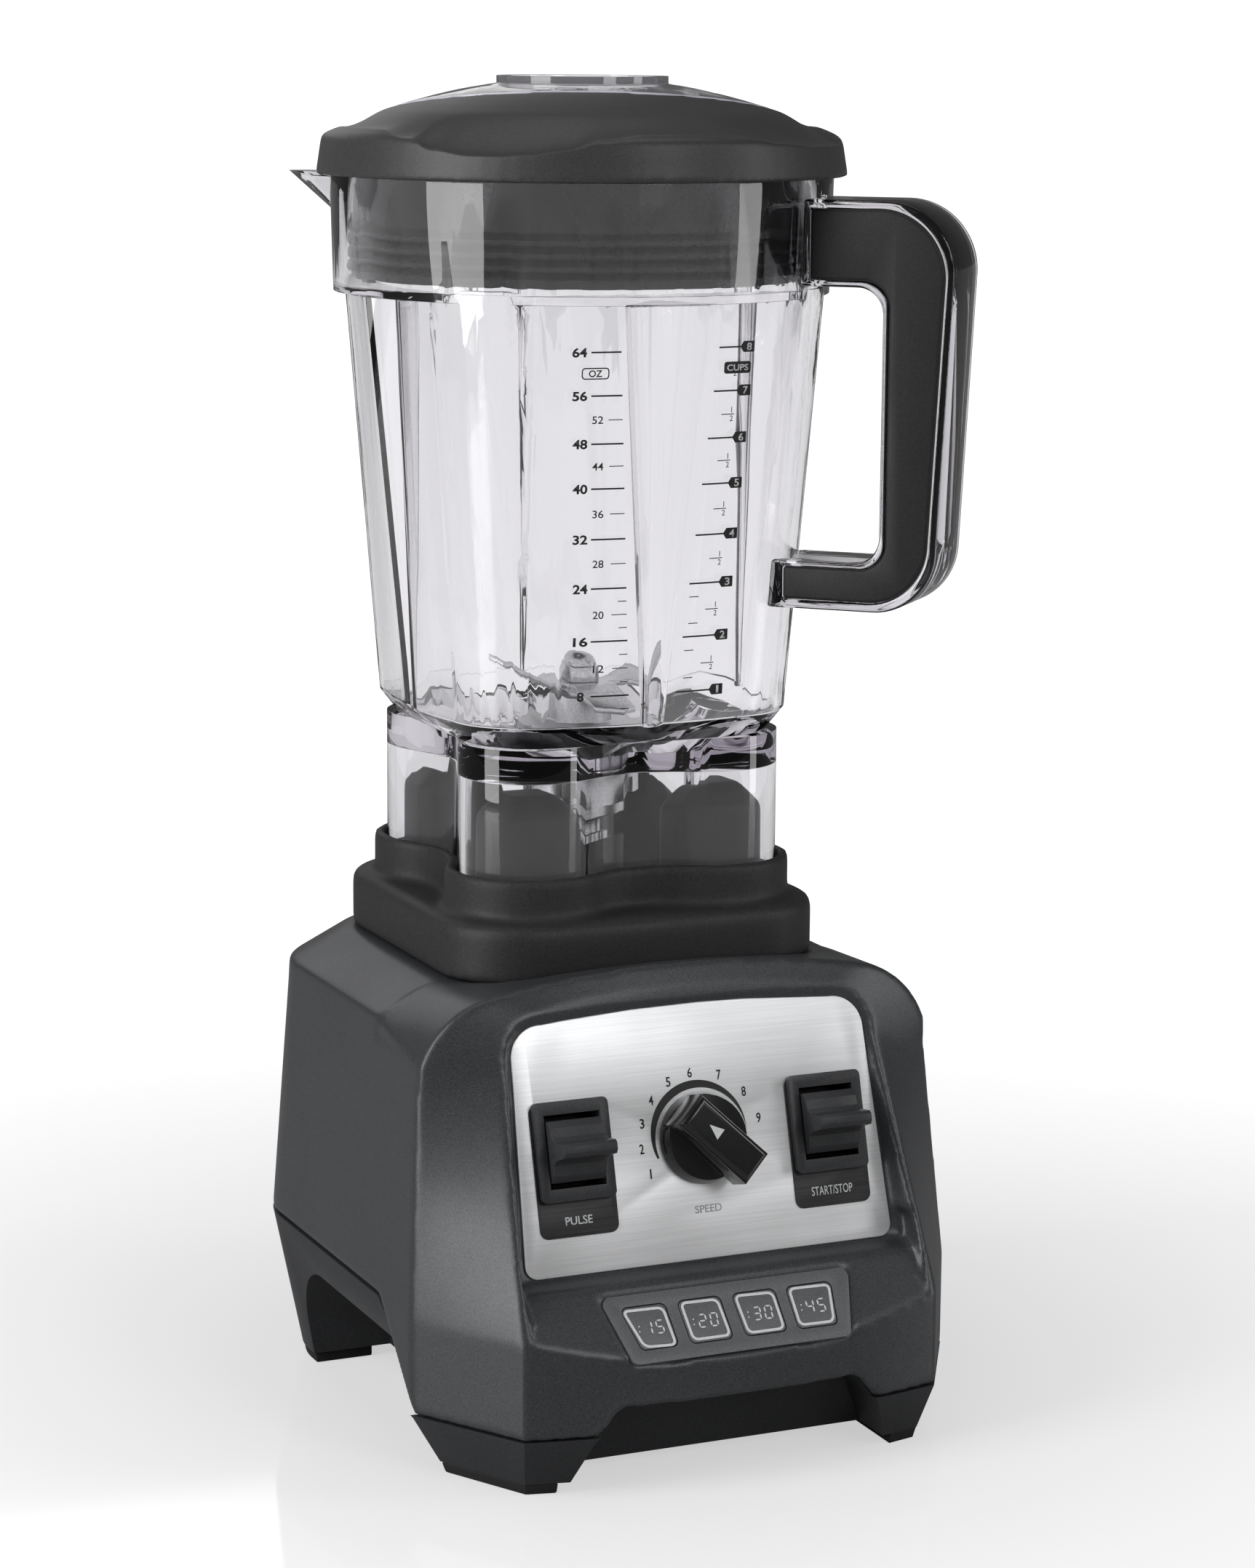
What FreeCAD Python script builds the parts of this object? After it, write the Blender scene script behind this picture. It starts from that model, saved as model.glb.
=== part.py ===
import FreeCAD, Part
import math
import os

# Countertop blender: a motor base with a control panel, a clear jar with a blade
# assembly in its floor, a lid and a clear filler cap.
# The model is built about the drive spindle: the spindle is the Z axis, the table is
# z = 0, the front is -Y.  The last section moves it so that its origin is the middle
# of the bottom of its box.  All sizes are in millimetres.

V = FreeCAD.Vector

# ---------------------------------------------------------------- driving dimensions
# base housing, seen from above and from the side
BASE_HALF = 99.6           # half width at the widest level
BASE_HALF_TOP = 93.7       # half width at the hood's side corners
BASE_REAR = 78.0           # rear wall at the widest level
BASE_REAR_TOP = 72.5       # rear wall below the shoulder
BASE_FRONT = -141.5        # middle of the bowed front
FRONT_CORNER_X = 75.5      # front corners
FRONT_CORNER_Y = -132.5
RIDGE_TOP_X = 68.5         # the front corners' distance apart at the hood's sides
RIDGE_TOP_BOW = -1.0       # the front's bow at the same level
CHAMFER_Y = -92.0          # where the side walls turn into the front chamfers
CHAMFER_TOP_Y = -84.5
REAR_CORNER_R = 38.0
REAR_CORNER_TOP_R = 34.0
WIDEST_Z = 54.0
MIDDLE_Z = 96.0
HOOD_SIDE_Z = 138.0
SHOULDER_Z = 146.0
DECK_Z = 156.5
HOOD_TOP_Z = 165.5
HOOD_CREST_Y = -86.5       # the hood's highest line
HOOD_BACK_Y = -45.0        # where the hood has run out into the shoulders
RIDGE_TOP_Z = 158.0        # top of the hood's front edge
RIDGE_LEAN = 0.43          # how far the hood's front edge leans back per millimetre
WALL = 3.0
SEAM_FRONT_Z = 20.7        # joint between the housing and the bottom cover
SEAM_REAR_Z = 53.0
SEAM_GAP = 0.3

# control panel
PANEL_LEAN = 15.8          # degrees from upright
PANEL_Y = -114.8           # lower edge of the steel plate
PANEL_Z = 69.7
PANEL_HALF = 67.5
PANEL_HALF_TOP = 65.0
PANEL_TALL = 85.7
PANEL_THICK = 1.0
PANEL_FLARE = 0.4          # slope of the recess walls
TIMER_LEAN = 39.7
TIMER_Y = -124.5           # upper edge of the timer plate
TIMER_Z = 64.0
TIMER_TALL = 24.4
TIMER_HALF = 45.8
TIMER_HALF_LOW = 39.6
TIMER_THICK = 1.6

# speed knob and switches, measured in the panel's own plane
KNOB_X = 0.5
KNOB_UP = 40.2
KNOB_R = 15.4
KNOB_REACH = 17.5
KNOB_BAR_WIDE = 13.0
KNOB_POINTS = 135.0        # degrees, where the pointer stands at rest
POT_SHAFT_R = 3.0
SWITCH_X = 46.8
SWITCH_UP = 41.0
SWITCH_WINDOW = (20.0, 24.4)
SWITCH_BORDER = (3.4, 4.4)
SWITCH_FRAME_REACH = 3.2
SWITCH_PIVOT_DEEP = 3.0
SWITCH_PIN_R = 1.5
SWITCH_BOX_WALL = 1.2
SWITCH_BOX_DEEP = 10.0
PADDLE_HALF_TALL = 10.2
PADDLE_FIN_REACH = 17.0
LABEL_LOW = 12.6
LABEL_TALL = 44.4
LABEL_WIDE = 28.2
LABEL_THICK = 0.4
KEY_GAP = 0.35
KEY_TOP = -4.1
KEY_LOW = -19.9

# arches and feet
LEG_HALF = 91.0            # half width, front and rear of the legs at the table
LEG_CORNER = (72.5, -126.0)
LEG_FRONT = -135.0
LEG_REAR = 70.0
ARCH_TOP_Z = 41.0
ARCH_FRONT_Z = 30.0
ARCH_DEPTH_X = 62.0        # the side arches reach in to this half width
ARCH_DEPTH_Y = -112.0      # the front arch reaches back to here
RIM_TOP_Z = ARCH_TOP_Z + 2 * WALL      # the bottom cover's rim stands inside the housing
REAR_ARCH_Z = 22.0
REAR_ARCH_Y = 62.0         # the rear arch reaches in to here
FOOT_TALL = 4.0
FOOT_PLUG_R = 4.0
SCREW_BORE_R = 4.3
SCREW_R = 2.0
SCREW_HEAD_R = 3.8
FRONT_SCREW = (72.0, -104.0)
REAR_SCREW = (77.0, 42.0)
SCREW_SEAT = 6.0           # how far a screw's seat lies below the top of its post
SCREW_PLAY = 0.3
SCREW_POSTS = ((FRONT_SCREW, SEAM_FRONT_Z + 4.0), (REAR_SCREW, SEAM_REAR_Z))

# rubber cushion on top of the base
PAD_HALF = 69.0
PAD_CORNER_R = 30.0
PAD_TOP_Z = 177.0
PAD_LIP_Z = 191.5
PAD_FLOOR_Z = 183.0
PAD_HOLE_R = 20.0
POST_AT = 34.5
POST_HALF = 15.5
POST_TOP_Z = 217.5
LIP_THICK = 4.0

# jar
SKIRT_LOBE_AT = 34.0
SKIRT_LOBE_R = 24.0
SKIRT_WAIST = 48.0
SKIRT_LOW_Z = 184.0
JAR_WALL = 3.0
JAR_FLOOR_LOW_Z = 223.0
JAR_FLOOR_Z = 229.0
BODY_LOW_Z = 243.0
BODY_TOP_Z = 388.0
BODY_HALF_LOW = 61.0
BODY_CORNER_LOW = 29.0
BODY_HALF_TOP = 72.0
BODY_CORNER_TOP = 37.0
BODY_BULGE = 3.0
FLUTE_IN = 62.6            # the flutes' upright inner lines stand this far from the spindle
FLUTE_R = 4.0
FLUTE_SPREAD = 48.0        # degrees between a flute's middle plane and each of its faces
NECK_R = 85.6
NECK_R_TOP = 86.7
RIM_Z = 426.0
SPOUT_REACH = 111.6
SPOUT_TOP_Z = 424.0
SPOUT_ROOT_Z = 403.0
SPOUT_HALF = 27.0
SPOUT_WALL = 2.4

# jar handle, on the diagonal towards +X, -Y
HANDLE_TURN = -45.0
HANDLE_THICK = 29.0
HANDLE_OUT = 138.0
HANDLE_TOP_Z = 418.5
HANDLE_LOW_Z = 280.5
GRIP_TOP_Z = 389.5
GRIP_LOW_Z = 297.0
GRIP_IN = 113.5
GRIP_THICK = 4.5
GRIP_EDGE = 3.0
GRIP_GAP = 0.15
GRIP_END = 87.5            # the grips' upper ends stop this far from the spindle

# blade assembly in the jar's floor
BARREL_R = 14.0
BARREL_LOW_Z = 208.0
BARREL_TOP_Z = 244.0
FLANGE_R = 22.0
NUT_R = 20.0
NUT_LOW_Z = 212.0
BLADE_SHAFT_R = 4.0
BLADE_REACH = 36.0
BLADE_Z = 247.0
BLADE_THICK = 2.0
BLADE_WIDE = 15.0
BLADE_UP = 28.0            # degrees that two tips rise, and that the other two drop
BLADE_DOWN = 18.0
SPLINE_TEETH = 12
SPLINE_R = 7.6
SPLINE_ROOT_R = 6.4
SPLINE_GAP = 0.2
SPLINE_LOW_Z = 187.0
SPLINE_TOP_Z = 203.0

# lid and filler cap
LID_TURN = -23.3           # how the lid happens to be put on
LID_R = 91.4
LID_EDGE_Z = 424.5
LID_RIM_Z = 437.5
LID_DOME_TOP_Z = 457.5
LID_WALL = 3.0
RIM_GAP = 0.4
GASKET_LOW_Z = 390.0
GASKET_R = 79.5
GASKET_WALL = 3.5
GASKET_LIPS = 4
CAP_HALF_LONG = 64.0
CAP_HALF_WIDE = 41.0
CAP_THICK = 2.8
CAP_GAP = 0.4
CAP_WELL_R = 29.5
CAP_WELL_LOW_Z = 440.0
CAP_TOP_Z = 458.0

# motor
SHAFT_R = 5.0
BEARING_GAP = 0.05
STATOR_HALF = 46.0
STATOR_BORE_R = 25.6
STATOR_Z = (80.0, 122.0)
BOLT_AT = 38.0             # the four long bolts' distance from the middle, both ways
COIL_AT = 34.0
ARMATURE_R = 24.8
WINDING_R = 19.0
COMMUTATOR_R = 15.0
COMMUTATOR_Z = (54.0, 70.0)
BRUSH_GAP = 0.4
FAN_R = 43.0
FAN_Z = (18.0, 32.0)
FAN_BLADES = 9
SHROUD_R = 46.0
BRACKET_Z = (136.0, 140.0)
LOW_BRACKET_Z = (44.0, 48.0)
MOUNT_AT = (54.0, 30.0)
COUPLING_R = 14.0
COUPLING_LOW_Z = 172.0
COUPLING_TOP_Z = 200.0

# cord inlet in the rear wall
GLAND_X = -45.0
GLAND_Z = 75.0
GLAND_R = 9.0
GLAND_BORE_R = 4.25


# ---------------------------------------------------------------- small builders
def box(x0, x1, y0, y1, z0, z1):
    return Part.makeBox(x1 - x0, y1 - y0, z1 - z0, V(x0, y0, z0))


def rod(r, z0, z1, x=0.0, y=0.0):
    return Part.makeCylinder(r, z1 - z0, V(x, y, z0))


def tube(r_out, r_in, z0, z1, x=0.0, y=0.0):
    return rod(r_out, z0, z1, x, y).cut(rod(r_in, z0 - 1, z1 + 1, x, y))


def line(a, b):
    return Part.LineSegment(a, b).toShape()


def arc(a, mid, b):
    return Part.Arc(a, mid, b).toShape()


def polygon(points):
    return Part.Wire(Part.makePolygon(points + [points[0]]).Edges)


def prism(points, along):
    """A flat outline of points pushed along a vector."""
    return Part.Face(polygon(points)).extrude(along)


def side_prism(outline, x0, x1):
    """An outline of (y, z) pairs pushed across the width."""
    return prism([V(x0, y, z) for y, z in outline], V(x1 - x0, 0, 0))


def front_prism(outline, y0, y1):
    """An outline of (x, z) pairs pushed from front to back."""
    return prism([V(x, y0, z) for x, z in outline], V(0, y1 - y0, 0))


def loft(wires):
    return Part.makeLoft(wires, True, True)


def fuse(shapes):
    return shapes[0].multiFuse(shapes[1:]) if len(shapes) > 1 else shapes[0]


def turned(shape, degrees):
    copy = shape.copy()
    copy.rotate(V(0, 0, 0), V(0, 0, 1), degrees)
    return copy


def mirrored(shape):
    return shape.mirror(V(0, 0, 0), V(1, 0, 0))


def placed_on_plane(shape, y, z, lean):
    """Put a shape built flat (x across, y up, z out) on a plane that leans back."""
    copy = shape.copy()
    copy.rotate(V(0, 0, 0), V(1, 0, 0), 90.0 - lean)
    copy.translate(V(0, y, z))
    return copy


def on_panel(shape):
    return placed_on_plane(shape, PANEL_Y, PANEL_Z, PANEL_LEAN)


def on_timer(shape):
    return placed_on_plane(shape, TIMER_Y, TIMER_Z, TIMER_LEAN)


def rounded_box(x0, x1, y0, y1, z0, z1, r):
    solid = box(x0, x1, y0, y1, z0, z1)
    upright = [e for e in solid.Edges if abs(e.tangentAt(e.FirstParameter).z) > 0.99]
    return solid.makeFillet(r, upright)


# ---------------------------------------------------------------- base housing
def plan_wire(z, half, chamfer_y, corner, front_y, rear_y, r):
    """The base's outline at one level: bowed front, chamfers, sides, round rear corners."""
    cx, cy = corner
    k = r * (1 - math.sqrt(0.5))
    left_chamfer, left_corner = V(-half, chamfer_y, z), V(-cx, cy, z)
    right_corner, right_chamfer = V(cx, cy, z), V(half, chamfer_y, z)
    right_side, right_back = V(half, rear_y - r, z), V(half - r, rear_y, z)
    left_back, left_side = V(-half + r, rear_y, z), V(-half, rear_y - r, z)
    return Part.Wire([
        line(left_chamfer, left_corner),
        arc(left_corner, V(0, front_y, z), right_corner),
        line(right_corner, right_chamfer),
        line(right_chamfer, right_side),
        arc(right_side, V(half - k, rear_y - k, z), right_back),
        line(right_back, left_back),
        arc(left_back, V(-half + k, rear_y - k, z), left_side),
        line(left_side, left_chamfer)])


def between(low, high, share):
    return low + (high - low) * share


def ridge_y(z):
    return FRONT_CORNER_Y + max(0.0, z - WIDEST_Z) * RIDGE_LEAN


def base_section(z, inset):
    """The housing's outline between the seam and the hood's side corners."""
    up = max(0.0, z - WIDEST_Z) / (HOOD_SIDE_Z - WIDEST_Z)
    t = inset
    corner = (between(FRONT_CORNER_X, RIDGE_TOP_X, up) - 0.6 * t, ridge_y(z) + 1.1 * t)
    bow = between(BASE_FRONT - FRONT_CORNER_Y, RIDGE_TOP_BOW, up)
    return plan_wire(z, between(BASE_HALF, BASE_HALF_TOP, up) - t,
                     between(CHAMFER_Y, CHAMFER_TOP_Y, up) + 0.4 * t, corner, corner[1] + bow,
                     between(BASE_REAR, BASE_REAR_TOP, up) - t,
                     between(REAR_CORNER_R, REAR_CORNER_TOP_R, up) - t)


def lower_body(low_z, inset):
    return loft([base_section(z, inset) for z in (low_z, WIDEST_Z, MIDDLE_Z, HOOD_SIDE_Z)])


def shoulder_body(inset):
    """The rear of the housing above the side walls, sloping in to the deck."""
    levels = ((HOOD_SIDE_Z, BASE_HALF_TOP, BASE_REAR_TOP, REAR_CORNER_TOP_R),
              (SHOULDER_Z, BASE_HALF_TOP - 0.7, BASE_REAR_TOP, REAR_CORNER_TOP_R - 1),
              (DECK_Z - inset, PAD_HALF + 3.0, PAD_HALF + 2.0, PAD_CORNER_R + 2))
    wires = []
    for z, half, rear, r in levels:
        h = half - inset
        wires.append(plan_wire(z, h, HOOD_BACK_Y, (h - 0.5, HOOD_BACK_Y - 0.5), HOOD_BACK_Y - 0.6,
                               rear - inset, r - inset))
    return loft(wires)


def hood_wire(place, low_z, half, side_z, shoulder, end, top_z):
    """One arch of the hood; place turns (x, z) into a point of the arch's plane."""
    sx, sz = shoulder
    ex, ez = end
    return Part.Wire([
        line(place(-half, low_z), place(-half, side_z)),
        arc(place(-half, side_z), place(-sx, sz), place(-ex, ez)),
        arc(place(-ex, ez), place(0, top_z), place(ex, ez)),
        arc(place(ex, ez), place(sx, sz), place(half, side_z)),
        line(place(half, side_z), place(half, low_z)),
        line(place(half, low_z), place(-half, low_z))])


def hood_body(inset):
    """The raised hood that frames the top of the panel and runs out over the shoulders."""
    lean = math.tan(math.radians(PANEL_LEAN))
    low = HOOD_SIDE_Z - 8.0
    t = inset
    side, deck_x = BASE_HALF_TOP - t, PAD_HALF + 3.0 - t
    back = hood_wire(lambda x, z: V(x, HOOD_BACK_Y, z), low, side - 0.7, SHOULDER_Z - 1 - t,
                     ((side + deck_x) / 2, (SHOULDER_Z + DECK_Z) / 2 - t + 0.6),
                     (deck_x, DECK_Z - t - 0.2), DECK_Z - t)
    crest = hood_wire(lambda x, z: V(x, HOOD_CREST_Y + t, z), low, side, HOOD_SIDE_Z - 1,
                      (side - 7.2, SHOULDER_Z + 3 - t), (side - 27.7, HOOD_TOP_Z - 6 - t), HOOD_TOP_Z - t)
    front_y = ridge_y(HOOD_SIDE_Z) + t

    def on_ridge(x, z):
        return V(x, front_y + (z - HOOD_SIDE_Z) * lean, z)

    edge = RIDGE_TOP_X - t
    front = hood_wire(on_ridge, low, edge + 0.5, HOOD_SIDE_Z, (edge - 3.5, HOOD_SIDE_Z + 10 - t),
                      (edge - 14.5, RIDGE_TOP_Z - 4 - t), RIDGE_TOP_Z - t)
    return loft([back, crest, front])


def panel_wire(grow, n):
    """The steel plate's outline in the panel plane, grown by an offset."""
    low_r, g = 4.5, grow
    h0, h1 = PANEL_HALF + g, PANEL_HALF_TOP + g
    side_end = PANEL_TALL - 13.7
    end_x, end_s = 53.0 + 0.6 * g, PANEL_TALL - 2.5 + 0.9 * g
    mid_x, mid_s = h1 - 3.0, PANEL_TALL - 6.0 + 0.6 * g
    k = low_r * (1 - math.sqrt(0.5))
    return Part.Wire([
        line(V(-h0 + low_r, -g, n), V(h0 - low_r, -g, n)),
        arc(V(h0 - low_r, -g, n), V(h0 - k, -g + k, n), V(h0, low_r - g, n)),
        line(V(h0, low_r - g, n), V(h1, side_end, n)),
        arc(V(h1, side_end, n), V(mid_x, mid_s, n), V(end_x, end_s, n)),
        arc(V(end_x, end_s, n), V(0, PANEL_TALL + g, n), V(-end_x, end_s, n)),
        arc(V(-end_x, end_s, n), V(-mid_x, mid_s, n), V(-h1, side_end, n)),
        line(V(-h1, side_end, n), V(-h0, low_r - g, n)),
        arc(V(-h0, low_r - g, n), V(-h0 + k, -g + k, n), V(-h0 + low_r, -g, n))])


def plane_point(y, z, lean, up, out):
    """(y, z) of a point given up and out from a leaning plane's lower edge."""
    a = math.radians(lean)
    return (y + up * math.sin(a) - out * math.cos(a), z + up * math.cos(a) + out * math.sin(a))


def front_space(back):
    """All that lies in front of the panel, the ledge and the timer slope."""
    outline = [plane_point(PANEL_Y, PANEL_Z, PANEL_LEAN, 120.0, -back),
               plane_point(PANEL_Y, PANEL_Z, PANEL_LEAN, -1.2 - 0.5 * back, -back),
               plane_point(TIMER_Y, TIMER_Z, TIMER_LEAN, 4.0 - 0.5 * back, -back),
               plane_point(TIMER_Y, TIMER_Z, TIMER_LEAN, -60.0, -back),
               (BASE_FRONT - 60.0, 20.0), (BASE_FRONT - 60.0, 190.0)]
    return outline


def recess_cut():
    """The hollow that the steel plate lies in, with flared walls."""
    reach = 16.0
    pocket = loft([panel_wire(0.8, -PANEL_THICK), panel_wire(0.8 + PANEL_FLARE * reach, reach)])
    ledge = front_space(0.0)
    ledge[0] = plane_point(PANEL_Y, PANEL_Z, PANEL_LEAN, 10.0, 0.0)
    ledge[-1] = (BASE_FRONT - 60.0, ledge[0][1])
    slope = side_prism(ledge, -FRONT_CORNER_X + 3.0, FRONT_CORNER_X - 3.0)
    return on_panel(pocket).fuse(slope)


def seam_space():
    """All that lies under the seam between the housing and the bottom cover."""
    outline = [(-250.0, -5.0), (-250.0, SEAM_FRONT_Z), (CHAMFER_Y - 1.0, SEAM_FRONT_Z),
               (CHAMFER_Y + 31.0, SEAM_REAR_Z), (200.0, SEAM_REAR_Z), (200.0, -5.0)]
    return side_prism(outline, -150.0, 150.0)


def front_arch(grow, y0, y1):
    g = grow
    outline = [(-63 - g, -10.0), (-52 - g, 19.0), (-46 - 0.6 * g, 27.0 + 0.6 * g),
               (-43 - 0.3 * g, ARCH_FRONT_Z + g), (43 + 0.3 * g, ARCH_FRONT_Z + g),
               (46 + 0.6 * g, 27.0 + 0.6 * g), (52 + g, 19.0), (63 + g, -10.0)]
    return front_prism(outline, y0, y1)


def side_arch(grow, x0, x1):
    g = grow
    top = ARCH_TOP_Z + g
    points = [(-95.5 - g, -10.0), (-92.4 - g, 20.0), (-79.3 - 0.7 * g, 35.0 + 0.7 * g),
              (-71.5 - 0.3 * g, top - 0.3), (-60.0, top), (-1.0, top)]
    edges = [line(V(x0, *a), V(x0, *b)) for a, b in zip(points, points[1:])]
    heel = (27.0 + g, 18.0)
    edges.append(arc(V(x0, *points[-1]), V(x0, 17.5 + 0.7 * g, 35.0 + 0.7 * g), V(x0, *heel)))
    edges.append(line(V(x0, *heel), V(x0, heel[0], -10.0)))
    edges.append(line(V(x0, heel[0], -10.0), V(x0, *points[0])))
    return Part.Face(Part.Wire(edges)).extrude(V(x1 - x0, 0, 0))


def pad_outline(grow, z0, z1):
    h = PAD_HALF + grow
    return rounded_box(-h, h, -h, h, z0, z1, PAD_CORNER_R + grow)


def switch_hole(grow, n0, n1):
    w = SWITCH_WINDOW[0] / 2 + SWITCH_BOX_WALL + grow
    t = SWITCH_WINDOW[1] / 2 + SWITCH_BOX_WALL + grow
    return fuse([on_panel(box(side * SWITCH_X - w, side * SWITCH_X + w,
                              SWITCH_UP - t, SWITCH_UP + t, n0, n1)) for side in (-1, 1)])


def knob_hole(r, n0, n1):
    return on_panel(Part.makeCylinder(r, n1 - n0, V(KNOB_X, KNOB_UP, n0)))


def gland_rod(r, y0, y1):
    return Part.makeCylinder(r, y1 - y0, V(GLAND_X, y0, GLAND_Z), V(0, 1, 0))


def base_housing():
    outer = fuse([lower_body(SEAM_FRONT_Z, 0.0), shoulder_body(0.0), hood_body(0.0)])
    outer = outer.cut(recess_cut())
    outer = outer.cut(pad_outline(0.6, DECK_Z, HOOD_TOP_Z + 5))
    inner = fuse([lower_body(10.0, WALL), shoulder_body(WALL), hood_body(WALL + 0.5)])
    inner = inner.cut(side_prism(front_space(PANEL_THICK + WALL), -150.0, 150.0))
    shell = outer.cut(inner)
    columns = []
    for side in (-1, 1):
        x, y = side * FRONT_SCREW[0], FRONT_SCREW[1]
        wall_x = side * (BASE_HALF - WALL)
        columns.append(rod(5.0, SEAM_FRONT_Z + 4.5, 60.0, x, y))
        columns.append(box(min(x, wall_x), max(x, wall_x), y - 1.5, y + 1.5, RIM_TOP_Z + SEAM_GAP, 60.0))
        x, y = side * REAR_SCREW[0], REAR_SCREW[1]
        columns.append(rod(5.0, SEAM_REAR_Z + 0.5, 130.0, x, y))
        columns.append(box(min(x, wall_x), max(x, wall_x), y - 1.5, y + 1.5, 60.0, 130.0))
        for end in (-1, 1):
            columns.append(rod(6.5, BRACKET_Z[1] + 4.0, DECK_Z - 1, side * MOUNT_AT[0], end * MOUNT_AT[1]))
    shell = shell.fuse(fuse(columns).common(outer))
    for side in (-1, 1):
        for x, y in (FRONT_SCREW, REAR_SCREW):
            shell = shell.cut(rod(SCREW_R, SEAM_FRONT_Z, SEAM_REAR_Z + 12, side * x, y))
        for end in (-1, 1):
            shell = shell.cut(rod(SCREW_R, BRACKET_Z[1], DECK_Z - 3, side * MOUNT_AT[0],
                                  end * MOUNT_AT[1]))
    shell = shell.cut(seam_space())
    shell = shell.cut(front_arch(0.0, -160.0, ARCH_DEPTH_Y - 1))
    shell = shell.cut(rod(PAD_HOLE_R, DECK_Z - 10, DECK_Z + 10))
    shell = shell.cut(switch_hole(SEAM_GAP, -12.0, 5.0))
    shell = shell.cut(knob_hole(6.0, -12.0, 5.0))
    shell = shell.cut(on_timer(timer_prism(SEAM_GAP, -TIMER_THICK, 5.0)))
    shell = shell.cut(on_timer(timer_prism(-2.5, -12.0, 5.0)))
    shell = shell.cut(gland_rod(GLAND_R - 2.5, 50.0, 90.0))
    return shell


# ---------------------------------------------------------------- bottom cover and feet
def skirt_body(inset, low_z):
    """The outer shape of the front and of the rear legs, which taper in towards the table."""
    t = inset
    leg_x, leg_y = LEG_CORNER
    inner_y = ARCH_DEPTH_Y + 70.0
    front = loft([
        plan_wire(low_z, LEG_HALF - t, CHAMFER_Y + 0.4 * t, (leg_x - 0.6 * t, leg_y + 1.1 * t),
                  LEG_FRONT + 1.1 * t, inner_y, 5.0),
        plan_wire(SEAM_FRONT_Z, BASE_HALF - t, CHAMFER_Y + 0.4 * t,
                  (FRONT_CORNER_X - 0.6 * t, FRONT_CORNER_Y + 1.1 * t), BASE_FRONT + 1.1 * t,
                  inner_y, 5.0)])
    split_y = CHAMFER_Y - 2.0
    rear = loft([
        plan_wire(low_z, LEG_HALF - t, CHAMFER_Y + 17.0, (LEG_HALF - 11.0 - t, split_y), split_y - 1,
                  LEG_REAR - t, REAR_CORNER_R - 2 - t),
        plan_wire(SEAM_REAR_Z, BASE_HALF - t, CHAMFER_Y + 17.0, (BASE_HALF - 9.0 - t, split_y), split_y - 1,
                  BASE_REAR - t, REAR_CORNER_R - t)])
    return front, rear


def rear_arch(grow, y0, y1):
    g = grow
    top = REAR_ARCH_Z + g
    outline = [(-56 - g, -10.0), (-48 - g, 14.0), (-42 - 0.5 * g, top), (42 + 0.5 * g, top),
               (48 + g, 14.0), (56 + g, -10.0)]
    return front_prism(outline, y0, y1)


def arches(grow):
    g = grow
    return fuse([side_arch(g, ARCH_DEPTH_X - g, 120.0),
                 side_arch(g, -120.0, -ARCH_DEPTH_X + g),
                 front_arch(g, -170.0, ARCH_DEPTH_Y + g),
                 rear_arch(g, REAR_ARCH_Y - g, 120.0)])


def bottom_cover():
    front, rear = skirt_body(0.0, FOOT_TALL)
    ahead = box(-150, 150, -200, ARCH_DEPTH_Y + 62, SEAM_FRONT_Z - 2, RIM_TOP_Z)
    inner_rim = lower_body(SEAM_FRONT_Z - 2, WALL + SEAM_GAP).common(ahead)
    slope_inside = side_prism(front_space(PANEL_THICK + WALL + SEAM_GAP), -150.0, 150.0)
    board_room = box(-TIMER_HALF, TIMER_HALF, -150, ARCH_DEPTH_Y, ARCH_TOP_Z - 3, 60)
    inner_rim = inner_rim.cut(slope_inside).cut(board_room)
    outer = front.fuse(rear.common(seam_space())).fuse(inner_rim)
    outer = outer.cut(arches(0.0))
    front_in, rear_in = skirt_body(WALL, FOOT_TALL + WALL)
    rim_in = lower_body(SEAM_FRONT_Z - 2, 2 * WALL + SEAM_GAP).common(ahead)
    hollow = front_in.fuse(rear_in).fuse(rim_in).cut(arches(WALL))
    tray = outer.cut(hollow.common(box(-150, 150, -200, 150, FOOT_TALL + WALL, SEAM_REAR_Z + 5)))
    boss_r = SCREW_BORE_R + 2.2
    bosses = [rod(boss_r, FOOT_TALL, top, side * x, y)
              for side in (-1, 1) for (x, y), top in SCREW_POSTS]
    tray = tray.fuse(fuse(bosses))
    for side in (-1, 1):
        for (x, y), top in SCREW_POSTS:
            tray = tray.cut(rod(SCREW_BORE_R, 0, top - SCREW_SEAT, side * x, y))
            tray = tray.cut(rod(SCREW_R + SCREW_PLAY, 0, top + 1, side * x, y))
    slots = []
    for k in range(-4, 5):
        reach = math.sqrt(FAN_R ** 2 - (k * 9.0) ** 2)
        slots.append(box(k * 9.0 - 1.8, k * 9.0 + 1.8, -reach, reach, 0, 12))
    return tray.cut(fuse(slots))


def foot(side, screw, window):
    """One rubber foot with a plug that fills the screw bore above it."""
    front, rear = skirt_body(1.2, 0.0)
    body = front if screw is FRONT_SCREW else rear
    x0, x1, y0, y1 = window
    pad = body.common(box(x0, x1, y0, y1, 0.0, FOOT_TALL))
    plug = rod(FOOT_PLUG_R, FOOT_TALL - 1, FOOT_TALL + 5, *screw)
    whole = pad.fuse(plug)
    return mirrored(whole) if side < 0 else whole


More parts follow.
